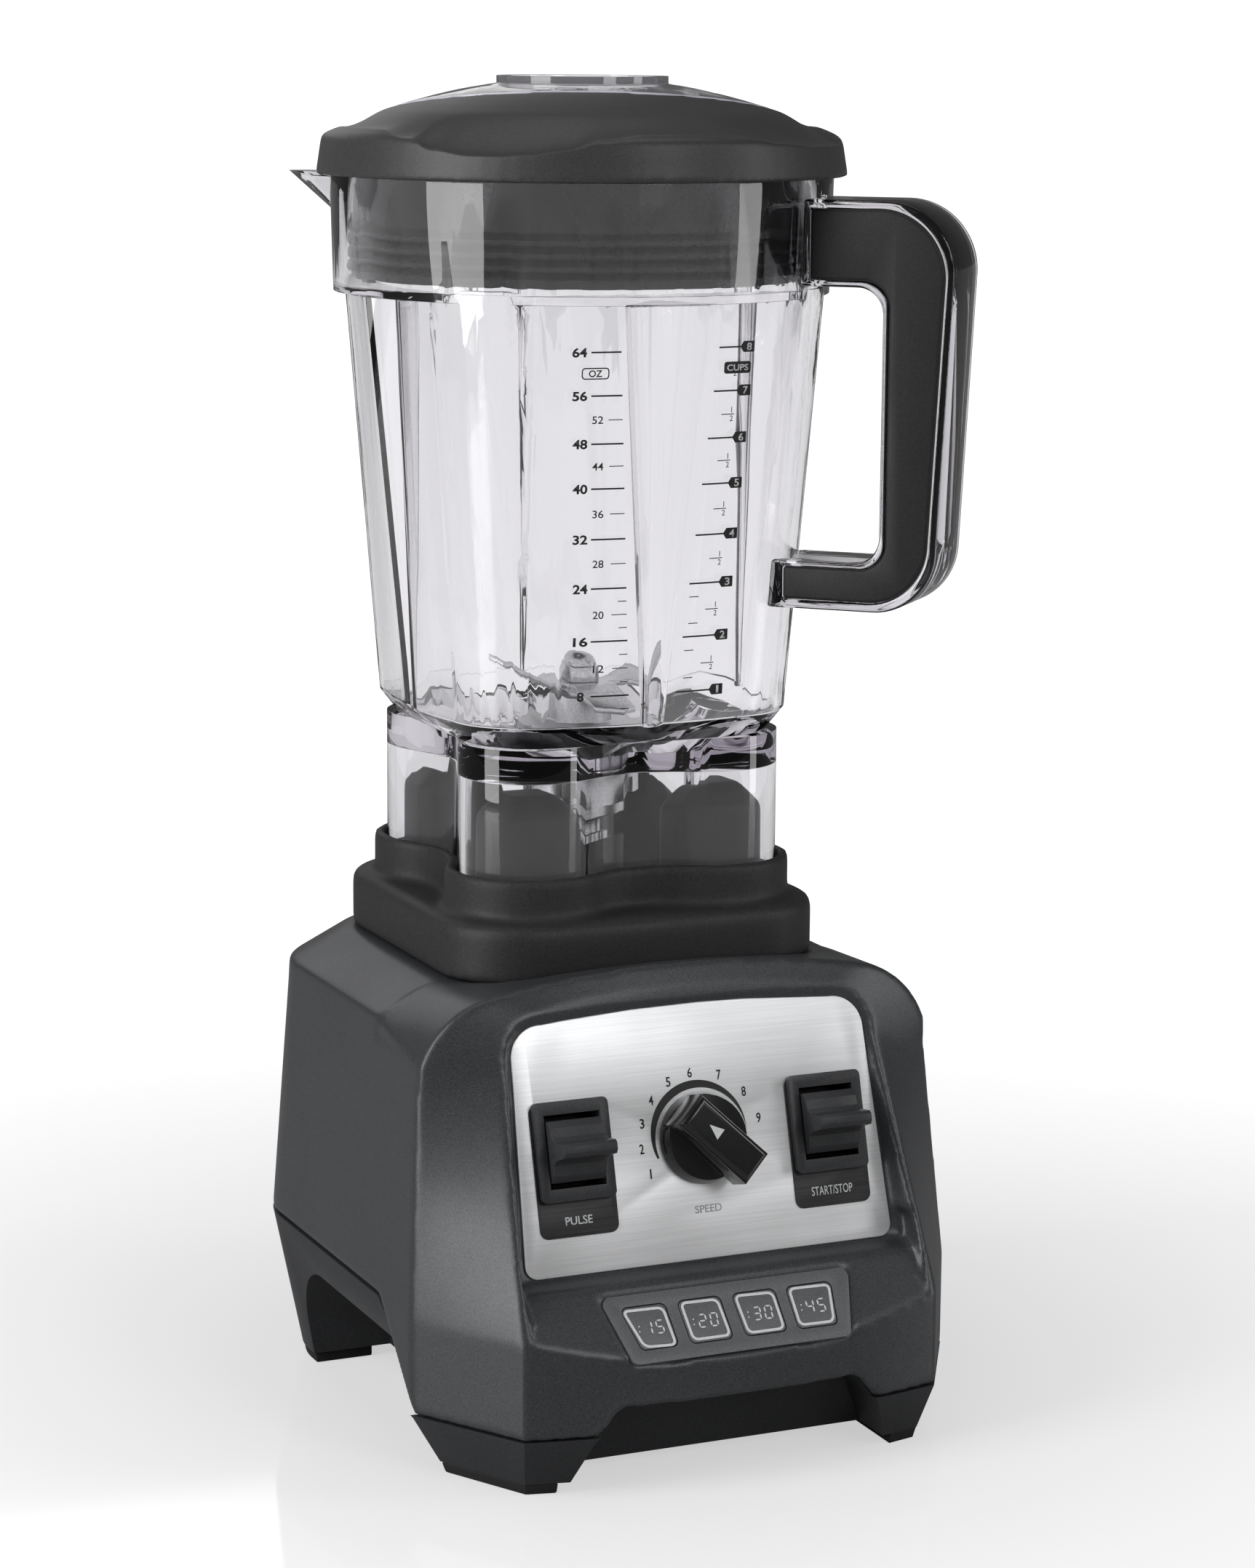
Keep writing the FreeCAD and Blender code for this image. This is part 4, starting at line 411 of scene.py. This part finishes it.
# The speed scale is printed on the steel: nine numbers and a crescent that swells clockwise.
KNOB_X, KNOB_UP = 0.5, 40.2
NUMBER_RING = 22.2
NUMBER_ANGLES = (207, 184, 162, 140, 117, 95, 67, 39, 12)
marks = []
for number, angle in enumerate(NUMBER_ANGLES, start=1):
    a = math.radians(angle)
    marks.append(word(str(number), KNOB_X + NUMBER_RING * math.cos(a),
                      KNOB_UP + NUMBER_RING * math.sin(a), 3.3, 0.55 if number == 1 else 1.6,
                      0.012))


def disc(x, y, radius, low, high):
    """A round blank in millimetres, which is cut, or cuts another, afterwards."""
    middle_up = (low + high) / 2.0
    bpy.ops.mesh.primitive_cylinder_add(
        vertices=96, radius=radius / 1000.0, depth=(high - low) / 1000.0,
        location=(x / 1000.0, y / 1000.0, middle_up / 1000.0))
    bpy.ops.object.transform_apply(location=True, rotation=True, scale=True)
    return bpy.context.active_object


def cut_away(piece, tool):
    """Cut a piece with a tool shape, which is then thrown away."""
    work(piece, "BOOLEAN", operation="DIFFERENCE", object=tool, solver="EXACT")
    bpy.data.objects.remove(tool)


SWELL_TO = math.radians(112.0)
SWELL_BY = 2.05
CRESCENT_R, CRESCENT_INNER_R = 17.6, 16.9
crescent = disc(KNOB_X + SWELL_BY * math.cos(SWELL_TO), KNOB_UP + SWELL_BY * math.sin(SWELL_TO),
                CRESCENT_R, 0.0, PRINT_THICK * 1000.0)
cut_away(crescent, disc(KNOB_X, KNOB_UP, CRESCENT_INNER_R, -1.0, 1.0))
gap = patch([(-40, -40), (40, -40), (40, KNOB_UP + 3.5), (-40, KNOB_UP - 9.0)])
work(gap, "SOLIDIFY", thickness=0.002, offset=0.0)
cut_away(crescent, gap)
settle(crescent, PANEL @ Matrix.Translation((0, 0, PRINT_LIFT)))
crescent.name = "speed_crescent"
fit(crescent, dark_ink, "base", "panel_steel")
printed(marks, "speed_numbers", PANEL, PRINT_LIFT, dark_ink, "base", "panel_steel")
printed([word("SPEED", 0.3, 16.6, 2.6, 9.8, 0.006)], "speed_word", PANEL, PRINT_LIFT, grey_ink,
        "base", "panel_steel")

# ---------------------------------------------------------------- switches
# Each switch is a dark satin frame that clips through the panel and a paddle with a finger
# lever, which rocks on a steel pin. Electrical blocks sit behind them.
switch_plastic = finish("switch_plastic", (0.024, 0.025, 0.027), (0.040, 0.041, 0.044),
                        (0.34, 0.44), 0.0004, 0.00001)
for switch, body in (("pulse", "pulse_lever"), ("start", "start_lever")):
    bezel = eased(switch + "_switch_frame", switch + "_bezel", 0.0009)
    fit(bezel, switch_plastic, "base", "switch_plastic", switch + "_switch_frame")
    paddle = eased(switch + "_paddle", switch + "_rocker", 0.0009)
    fit(paddle, switch_plastic, body, "switch_plastic", switch + "_paddle")


def coat_nodes(material, *nodes):
    """CAD pieces that keep their shape get their finish here."""
    for node in nodes:
        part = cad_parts[node]
        for slot in part.material_slots:
            slot.material = material


steel = finish("turned_steel", (0.42, 0.42, 0.43), (0.60, 0.60, 0.61), (0.25, 0.36),
               0.0004, 0.000008, metal=1.0)
block_plastic = finish("block_plastic", (0.018, 0.018, 0.020), (0.034, 0.034, 0.037),
                       (0.5, 0.6), 0.0006, 0.00002)
coat_nodes(steel, "switch_pivot_pins", "housing_screws", "motor_bolts", "motor_spacers",
           "motor_shaft", "motor_bearings", "blade_bearings")
coat_nodes(block_plastic, "switch_blocks", "timer_switches")

# ---------------------------------------------------------------- speed knob
# A glossy black moulding: a round skirt with a grip bar across it. A white triangle is the
# pointer, and a long groove runs along the bar's left flank for the thumb.
POINTER = math.radians(135.0)
KNOB_TOP = 0.0175
GROOVE_UP, GROOVE_SIDE = 0.0125, -0.0072
GROOVE_HALF_SIZES = (10.5, 1.5, 1.9)
ARROW_OUT = 3.6
knob_gloss = finish("knob_gloss", (0.005, 0.005, 0.006), (0.008, 0.008, 0.009),
                    (0.07, 0.13), 0.0008, 0.000001, coat=0.5)
knob = eased("speed_knob", "speed_dial", 0.0011)
bpy.ops.mesh.primitive_uv_sphere_add(segments=48, ring_count=24, radius=0.001)
groove = bpy.context.active_object
groove_place = (Matrix.Translation((KNOB_X / 1000.0, KNOB_UP / 1000.0, GROOVE_UP))
                @ Matrix.Rotation(POINTER + math.pi, 4, "Z"))
settle(groove, PANEL @ groove_place @ Matrix.Translation((0.001, GROOVE_SIDE, 0))
       @ Matrix.Diagonal((*GROOVE_HALF_SIZES, 1)))
cut_away(knob, groove)
pick(knob)
bpy.ops.object.shade_smooth_by_angle(angle=SMOOTH_ANGLE)
fit(knob, knob_gloss, "knob", "knob_plastic", "speed_knob")
arrow = patch([(-2.1, -2.6), (2.1, -2.6), (0.02, 2.6), (-0.02, 2.6)])
settle(arrow, Matrix.Translation(((KNOB_X + ARROW_OUT * math.cos(POINTER)) / 1000.0,
                                  (KNOB_UP + ARROW_OUT * math.sin(POINTER)) / 1000.0, 0))
       @ Matrix.Rotation(POINTER - math.pi / 2, 4, "Z"))
printed([arrow], "dial_pointer", PANEL, KNOB_TOP + PRINT_LIFT, pale_ink, "knob", "knob_plastic")
coat_nodes(steel, "speed_control_shaft")
coat_nodes(block_plastic, "speed_control")

# ---------------------------------------------------------------- timer keys
# A printed satin plate lies in the slope under the panel, with four sprung keys. Each key
# has a pale outline and its seconds in seven-bar figures.
TIMER_LEAN = 39.7
TIMER_TOP = at(0, -124.5, 64.0)
TIMER = (Matrix.Translation(TIMER_TOP)
         @ Matrix.Rotation(math.radians(90.0 - TIMER_LEAN), 4, "X"))
timer_film = finish("timer_film", (0.105, 0.108, 0.115), (0.145, 0.148, 0.156),
                    (0.38, 0.46), 0.0004, 0.00001, metal=0.2)
timer_face = eased("timer_plate", "timer_face", 0.00025)
fit(timer_face, timer_film, "base", "timer_film", "timer_plate")
KEYS = {"15": [(-40.2, -4.2), (-35.7, -20.0), (-22.0, -20.6), (-23.2, -4.5)],
        "20": [(-19.1, -3.9), (-18.1, -19.8), (-2.1, -19.8), (-3.3, -4.2)],
        "30": [(0.7, -3.9), (2.0, -20.0), (17.6, -20.0), (17.0, -4.3)],
        "45": [(20.7, -3.9), (21.0, -19.7), (36.1, -19.9), (38.2, -4.2)]}
BARS = {"0": "abcdef", "1": "bc", "2": "abged", "3": "abgcd", "4": "fgbc", "5": "afgcd"}
BAR_AT = {"a": (0, 2.2, 0), "g": (0, 0, 0), "d": (0, -2.2, 0), "f": (-1.2, 1.1, 90),
          "b": (1.2, 1.1, 90), "e": (-1.2, -1.1, 90), "c": (1.2, -1.1, 90)}
KEY_MIDDLE_Y = -12.3
OUTLINE, OUTLINE_CORNER = 0.9, 2.3
FIGURE_STEP, FIGURE_SLANT = 4.2, 0.12
DOT_RISE, DOT_BACK = 0.9, 4.4


def bar(x, y, turn, length=2.0, thick=0.52):
    """One bar of a figure, with pointed ends."""
    bpy.ops.mesh.primitive_circle_add(vertices=6, radius=0.001, fill_type="NGON")
    piece = bpy.context.active_object
    return settle(piece, Matrix.Translation((x / 1000.0, y / 1000.0, 0))
                  @ Matrix.Rotation(math.radians(turn), 4, "Z")
                  @ Matrix.Diagonal((length / 2, thick / 1.73, 1, 1)))


for seconds, corners in KEYS.items():
    body = "timer_key_" + seconds
    node = "timer_button_" + seconds
    fit(eased(node, "key_" + seconds, 0.0003), timer_film, body, "key_plastic", node)
    middle_x = sum(c[0] for c in corners) / 4
    inner = [(x + (OUTLINE if x < middle_x else -OUTLINE),
              y + (OUTLINE if y < KEY_MIDDLE_Y else -OUTLINE)) for x, y in corners]
    marks = [patch(inner, OUTLINE_CORNER, OUTLINE)]
    for place, figure in enumerate(seconds):
        figure_x = middle_x + 0.3 + FIGURE_STEP * (place - 0.35)
        for name in BARS[figure]:
            bx, by, turn = BAR_AT[name]
            marks.append(bar(figure_x + bx + FIGURE_SLANT * by, KEY_MIDDLE_Y + by, turn))
    for rise in (-DOT_RISE, DOT_RISE):
        marks.append(bar(middle_x - DOT_BACK + FIGURE_SLANT * rise, KEY_MIDDLE_Y + rise, 0,
                         0.55, 0.5))
    printed(marks, "key_print_" + seconds, TIMER, PRINT_LIFT, pale_ink, body, "key_plastic")

# ---------------------------------------------------------------- electrics
# The timer board and the motor's control board are green glass fibre with black parts on
# them. A rubber bush lines the cord's hole in the rear wall.
board_green = finish("board_green", (0.010, 0.060, 0.025), (0.022, 0.10, 0.045),
                     (0.3, 0.42), 0.002, 0.00002)
heat_sink = finish("cast_aluminium", (0.35, 0.35, 0.36), (0.5, 0.5, 0.51), (0.4, 0.5),
                   0.0008, 0.00002, metal=1.0)
coat_nodes(board_green, "timer_board", "control_board")
coat_nodes(heat_sink, "board_components")
fit(eased("cord_gland", "cord_bush", 0.0005), foot_rubber, "base", "foot_rubber", "cord_gland")

# ---------------------------------------------------------------- motor
# A universal motor hangs under the deck on rubber bushes: a stack of stampings with two
# copper coils, an armature with its windings and commutator, brushes and a plastic fan.
stampings = finish("stampings", (0.10, 0.10, 0.105), (0.19, 0.19, 0.20), (0.4, 0.55),
                   0.0005, 0.00004, metal=0.8, stretch=(0.05, 0.05, 1))
copper = finish("enamelled_copper", (0.35, 0.12, 0.04), (0.60, 0.24, 0.09), (0.25, 0.35),
                0.0008, 0.00006, metal=0.9, stretch=(1, 0.1, 1))
plated = finish("plated_bracket", (0.38, 0.37, 0.34), (0.52, 0.51, 0.48), (0.35, 0.45),
                0.003, 0.00001, metal=0.9)
carbon = finish("pressed_carbon", (0.012, 0.012, 0.012), (0.03, 0.03, 0.03), (0.6, 0.75),
                0.0004, 0.00003)
fan_nylon = finish("fan_nylon", (0.05, 0.05, 0.055), (0.08, 0.08, 0.085), (0.45, 0.55),
                   0.001, 0.00002)
coat_nodes(stampings, "motor_stator", "armature_core")
coat_nodes(copper, "field_coils", "armature_windings", "commutator")
coat_nodes(plated, "upper_bracket", "lower_bracket", "brush_holders")
coat_nodes(foot_rubber, "motor_mounts")
coat_nodes(carbon, "carbon_brushes")
coat_nodes(fan_nylon, "cooling_fan", "fan_shroud")
coupling_nylon = finish("coupling_nylon", (0.02, 0.02, 0.021), (0.035, 0.035, 0.037),
                        (0.4, 0.5), 0.0006, 0.00002)
fit(eased("drive_coupling", "drive_socket", 0.0005), coupling_nylon, "rotor",
    "coupling_plastic", "drive_coupling")

# ---------------------------------------------------------------- jar
# A clear copolyester injection moulding: a square vessel with a V groove down each side, a
# round neck with a pouring lip, and a lobed skirt that stands in the cushion.
def clear_plastic(name, tint, rough, milk=0.0):
    """A clear plastic with a trace of violet and faint flow marks in its skin."""
    material, skin = shader(name)
    tree = material.node_tree
    skin.inputs["Base Color"].default_value = (*tint, 1)
    skin.inputs["Transmission Weight"].default_value = 1.0 - milk
    skin.inputs["IOR"].default_value = 1.52
    tree.links.new(pattern(material, 0.03, *rough), skin.inputs["Roughness"])
    bump = tree.nodes.new("ShaderNodeBump")
    bump.inputs["Strength"].default_value = 1.0
    bump.inputs["Distance"].default_value = 0.000002
    tree.links.new(pattern(material, 0.006, 0.0, 1.0, (1, 1, 0.3)), bump.inputs["Height"])
    tree.links.new(bump.outputs["Normal"], skin.inputs["Normal"])
    body = tree.nodes.new("ShaderNodeVolumeAbsorption")
    body.inputs["Color"].default_value = (0.63, 0.60, 0.66, 1)
    body.inputs["Density"].default_value = 22.0
    tree.links.new(body.outputs["Volume"], tree.nodes["Material Output"].inputs["Volume"])
    return material


clear = clear_plastic("clear_copolyester", (0.955, 0.95, 0.965), (0.0, 0.03))
jar = eased("jar", "clear_jar", 0.0013)
fit(jar, clear, "jar_body", "clear_plastic", "jar")
handle_core = eased("jar_handle", "clear_handle", 0.0012)
fit(handle_core, clear, "jar_body", "clear_plastic", "jar_handle")

# Black soft grips are pressed into both faces of the clear handle.
grip_rubber = finish("grip_rubber", (0.009, 0.009, 0.010), (0.016, 0.016, 0.017),
                     (0.48, 0.58), 0.0005, 0.000012)
for side in ("left", "right"):
    grip = eased("handle_grip_" + side, "soft_grip_" + side, 0.0012)
    fit(grip, grip_rubber, "jar_body", "grip_plastic", "handle_grip_" + side)

# Two measuring scales are printed on the front face: fluid ounces left, cups right.
FRONT = Matrix.Translation(at(0, -90, 0)) @ Matrix.Rotation(math.radians(90.0), 4, "X")
OUNCES = {64: 369.4, 56: 355.0, 48: 339.0, 40: 324.0, 32: 307.0, 24: 290.3, 16: 272.3,
          8: 253.5}
CUPS_AT = {8: 370.0, 7: 355.4, 6: 339.6, 5: 324.2, 4: 307.0, 3: 290.5, 2: 272.3, 1: 253.4}
BOLD, FINE = 0.55, 0.3
TAG_NOSE, TAG_NECK, TAG_END, TAG_HALF = 2.9, 1.7, 2.6, 1.85


def share(z):
    """How far a level is up the scale, from 0 at its lowest mark to 1 at its highest."""
    return (z - OUNCES[8]) / (OUNCES[64] - OUNCES[8])


def level(ounces):
    """The height of any number of ounces, between the marks on each side of it."""
    low = max(8, min(56, 8 * (ounces // 8)))
    return OUNCES[low] + (OUNCES[low + 8] - OUNCES[low]) * (ounces - low) / 8.0


def tick(x0, x1, z, thick):
    """A level line, cut into short lengths so that it can follow the jar's skin."""
    strip = patch(rectangle(x0, x1, z - thick / 2, z + thick / 2))
    bpy.ops.object.mode_set(mode="EDIT")
    bpy.ops.mesh.subdivide(number_cuts=3)
    bpy.ops.object.mode_set(mode="OBJECT")
    return strip


dark_marks, pale_marks = [], []
for ounces, z in OUNCES.items():
    t = share(z)
    wide = 5.0 if ounces > 9 else 2.4
    dark_marks.append(word(str(ounces), -26.8 - 4.4 * t, z, 3.2, wide, 0.03))
    dark_marks.append(tick(-23.3 - 4.0 * t, -9.9 - 7.1 * t, z, BOLD))
for ounces in (52, 44, 36, 28, 20, 12):
    z = level(ounces)
    t = share(z)
    dark_marks.append(word(str(ounces), -20.6 - 4.6 * t, z, 2.6, 3.8, 0.008))
    dark_marks.append(tick(-15.6 - 6.2 * t, -10.0 - 7.1 * t, z, FINE))
for ounces in (22, 18, 14, 10, 6):
    z = level(ounces)
    t = share(z)
    dark_marks.append(tick(-13.0 - 7.1 * t, -10.0 - 7.1 * t, z, FINE))
for cups, z in CUPS_AT.items():
    t = share(z)
    tag_x = 23.1 + 6.6 * t
    nose, neck, end = tag_x - TAG_NOSE, tag_x - TAG_NECK, tag_x + TAG_END
    low, high = z - TAG_HALF, z + TAG_HALF
    dark_marks.append(tick(7.5 + 11.0 * t, tag_x - 2.4, z, BOLD))
    dark_marks.append(patch([(nose, z), (neck, low), (end, low), (end, high)], 0.25))
    dark_marks.append(patch([(nose, z), (end, low), (end, high), (neck, high)], 0.25))
    pale_marks.append(word(str(cups), tag_x + 0.5, z, 2.6, 0.9 if cups == 1 else 1.9, 0.02))
for cups in range(1, 8):
    z = (CUPS_AT[cups] + CUPS_AT[cups + 1]) / 2
    t = share(z)
    dark_marks.append(word("1", 20.2 + 5.2 * t, z + 1.45, 1.9))
    dark_marks.append(word("2", 20.2 + 5.2 * t, z - 1.45, 1.9))
    dark_marks.append(tick(16.2 + 5.2 * t, 21.2 + 5.2 * t, z, FINE))
    if cups < 3:
        for part in (0.25, 0.75):
            quarter = CUPS_AT[cups] + (CUPS_AT[cups + 1] - CUPS_AT[cups]) * part
            dark_marks.append(tick(9.5 + 7 * t, 13.0 + 7 * t, quarter, FINE))
dark_marks.append(patch(rectangle(-30.3, -20.9, 360.45, 364.35), 1.2, 0.4))
dark_marks.append(word("OZ", -25.6, 362.4, 2.3, 4.6, 0.02))
dark_marks.append(patch(rectangle(20.8, 31.2, 361.1, 365.1), 0.9))
pale_marks.append(word("CUPS", 26.0, 363.1, 2.2, 8.2, 0.02))


def wrapped(marks, name, lift, ink):
    """Marks built flat in front of the jar are laid on its skin."""
    whole = joined(marks, name)
    settle(whole, FRONT)
    work(whole, "SHRINKWRAP", target=jar, wrap_method="PROJECT", use_project_y=True,
         use_positive_direction=True, use_negative_direction=False, use_project_x=False,
         use_project_z=False, wrap_mode="ABOVE_SURFACE", offset=lift)
    work(whole, "SOLIDIFY", thickness=0.00005, offset=1.0)
    fit(whole, ink, "jar_body", "clear_plastic")


wrapped(dark_marks, "scale_marks", lift=0.00005, ink=dark_ink)
wrapped(pale_marks, "scale_numerals", lift=0.00014, ink=pale_ink)

# ---------------------------------------------------------------- blade assembly
# Four forged steel arms turn on a shaft that runs in a steel housing through the jar's
# floor. A notched nut under the floor clamps it on a soft ring.
blade_steel = finish("blade_steel", (0.50, 0.50, 0.51), (0.68, 0.68, 0.69), (0.2, 0.3),
                     0.0005, 0.00001, metal=1.0)
for node, name, radius in (("blade_bearing_housing", "bearing_barrel", 0.0006),
                           ("retaining_nut", "floor_nut", 0.0005)):
    fit(eased(node, name, radius), steel, "jar_body", "steel", node)
for node, name, radius in (("blade", "cutting_blade", 0.0003),
                           ("blade_nut", "blade_cap_nut", 0.0005),
                           ("blade_shaft", "splined_shaft", 0.0003)):
    fit(eased(node, name, radius), blade_steel, "blade_body", "blade_steel", node)
fit(eased("flange_gasket", "floor_ring", 0.0002), foot_rubber, "jar_body", "foot_rubber",
    "flange_gasket")

# ---------------------------------------------------------------- lid
# A soft charcoal moulding that snaps over the rim. Its rim rises and dips in a slow wave,
# above which the dome is scooped away; the wave repeats every half turn.
LID_TURN = math.radians(-23.34)
WAVE = ((-14, 440.8, 82.2), (4, 435.1, 89.8), (29, 435.5, 89.8), (42, 436.8, 89.4),
        (54, 439.2, 85.7), (67.6, 440.0, 83.8), (76.4, 439.8, 84.3), (84.9, 438.3, 87.9),
        (93.4, 435.0, 89.8), (101, 433.5, 90.0), (107.3, 432.9, 90.1), (113.9, 433.0, 90.1),
        (122.8, 434.6, 89.9), (130.9, 438.2, 87.9), (143, 440.8, 82.2), (166, 440.8, 82.2),
        (184, 435.1, 89.8))
WAVE_FROM = WAVE[0][0]


def wave_at(angle):
    """The height and radius of the wave's crest at an angle round the lid, in degrees."""
    turned = (angle - WAVE_FROM) % 180.0 + WAVE_FROM
    for (a, za, ra), (b, zb, rb) in zip(WAVE, WAVE[1:]):
        if a <= turned <= b:
            t = (turned - a) / (b - a)
            t = t * t * (3 - 2 * t)
            return za + (zb - za) * t, ra + (rb - ra) * t
    return WAVE[0][1:]


lid = softened("lid", "wave_lid", grid=0.0010, rounds=8)
DOME_R, DOME_TOP = 209.3, 457.5
SCOOP_IN = 67.0
LID_THIN = 1.8
RIM_LOW = 431.0
CREST_HIGH, WAVE_DEEP = 441.0, 5.0
CREST_PROUD, CREST_RUN = 0.9, 1.5
SCOOP_SHARE, DIP_EXTRA = 0.7, 0.25
dome_rise = math.sqrt(DOME_R ** 2 - SCOOP_IN ** 2)
scoop_top = DOME_TOP - DOME_R + dome_rise
scoop_slope = -SCOOP_IN / dome_rise


def hollow_at(r, crest_z, crest_r):
    """The scooped dome's height: it leaves the dome in its slope and runs out level."""
    span = crest_r - SCOOP_IN
    u = (r - SCOOP_IN) / span
    return ((2 * u ** 3 - 3 * u ** 2 + 1) * scoop_top
            + (u ** 3 - 2 * u ** 2 + u) * span * scoop_slope
            + (3 * u ** 2 - 2 * u ** 3) * crest_z)


# The skin's directions are read before any point moves: outside points follow the hollow,
# and inside points stay a wall's thickness below it.
facing = [vertex.normal.copy() for vertex in lid.data.vertices]
for vertex, normal in zip(lid.data.vertices, facing):
    x, y, z = (vertex.co - spindle) * 1000.0
    r = math.hypot(x, y)
    if z < RIM_LOW or r < SCOOP_IN:
        continue
    outer = normal.z * 0.5 + (normal.x * x + normal.y * y) / r > 0.05
    crest_z, crest_r = wave_at(math.degrees(LID_TURN - math.atan2(y, x)))
    dip = min(1.0, max(0.0, (CREST_HIGH - crest_z) / WAVE_DEEP))
    if r >= crest_r:
        if outer:
            proud = CREST_PROUD * (1.0 - dip) * min(1.0, (r - crest_r) / CREST_RUN)
            vertex.co.z += proud / 1000.0
        continue
    hollow = hollow_at(r, crest_z, crest_r)
    if outer and z > hollow:
        vertex.co.z = (z + (hollow - z) * (SCOOP_SHARE + DIP_EXTRA * dip)) / 1000.0
    elif not outer and z > hollow - LID_THIN:
        vertex.co.z = (hollow - LID_THIN) / 1000.0
work(lid, "SMOOTH", factor=0.5, iterations=4)
lid_plastic = finish("lid_plastic", (0.032, 0.032, 0.033), (0.048, 0.048, 0.049),
                     (0.40, 0.46), 0.0004, 0.00001)
fit(lid, lid_plastic, "lid_body", "lid_plastic", "lid")

# The plug under the lid is softer and glossier, with four lips that press on the neck.
gasket_rubber = finish("gasket_rubber", (0.008, 0.008, 0.009), (0.014, 0.014, 0.015),
                       (0.22, 0.32), 0.0006, 0.00001)
fit(eased("lid_gasket", "sealing_plug", 0.0005), gasket_rubber, "lid_body", "pad_rubber",
    "lid_gasket")

# ---------------------------------------------------------------- filler cap
# A clear pointed oval that continues the lid's dome, moulded with a round well under it.
# The well plugs the hole in the lid, so the cap lifts straight out to fill the jar.
cap = eased("fill_cap", "clear_cap", 0.0009)
cap_clear = clear_plastic("clear_cap_plastic", (0.94, 0.93, 0.96), (0.02, 0.06), 0.08)
fit(cap, cap_clear, "cap_body", "clear_plastic", "fill_cap")

# Light that runs inside the cap comes out at its cut edge, which looks milky and violet. That
# light is painted here: the edge faces get a milky, pale violet plastic in its place.
painted_edge_light = clear_plastic("cap_edge_painted_light", (0.80, 0.76, 0.86), (0.25, 0.35), 0.7)
cap.data.materials.append(painted_edge_light)
CAP_LONG, CAP_WIDE = 64.0, 41.0
CAP_ARC = (CAP_LONG ** 2 + CAP_WIDE ** 2) / (2 * CAP_WIDE)
CAP_EDGE = 0.95
CAP_LOW = 440.0
to_lid = Matrix.Rotation(-LID_TURN, 3, "Z")
# Faces near the top that lie within CAP_EDGE of the oval's outline get the painted edge light.
for face in cap.data.polygons:
    place = to_lid @ (face.center - spindle) * 1000.0
    inward = CAP_ARC - math.hypot(place.x, abs(place.y) + CAP_ARC - CAP_WIDE)
    if inward < CAP_EDGE and place.z > CAP_LOW:
        face.material_index = 1
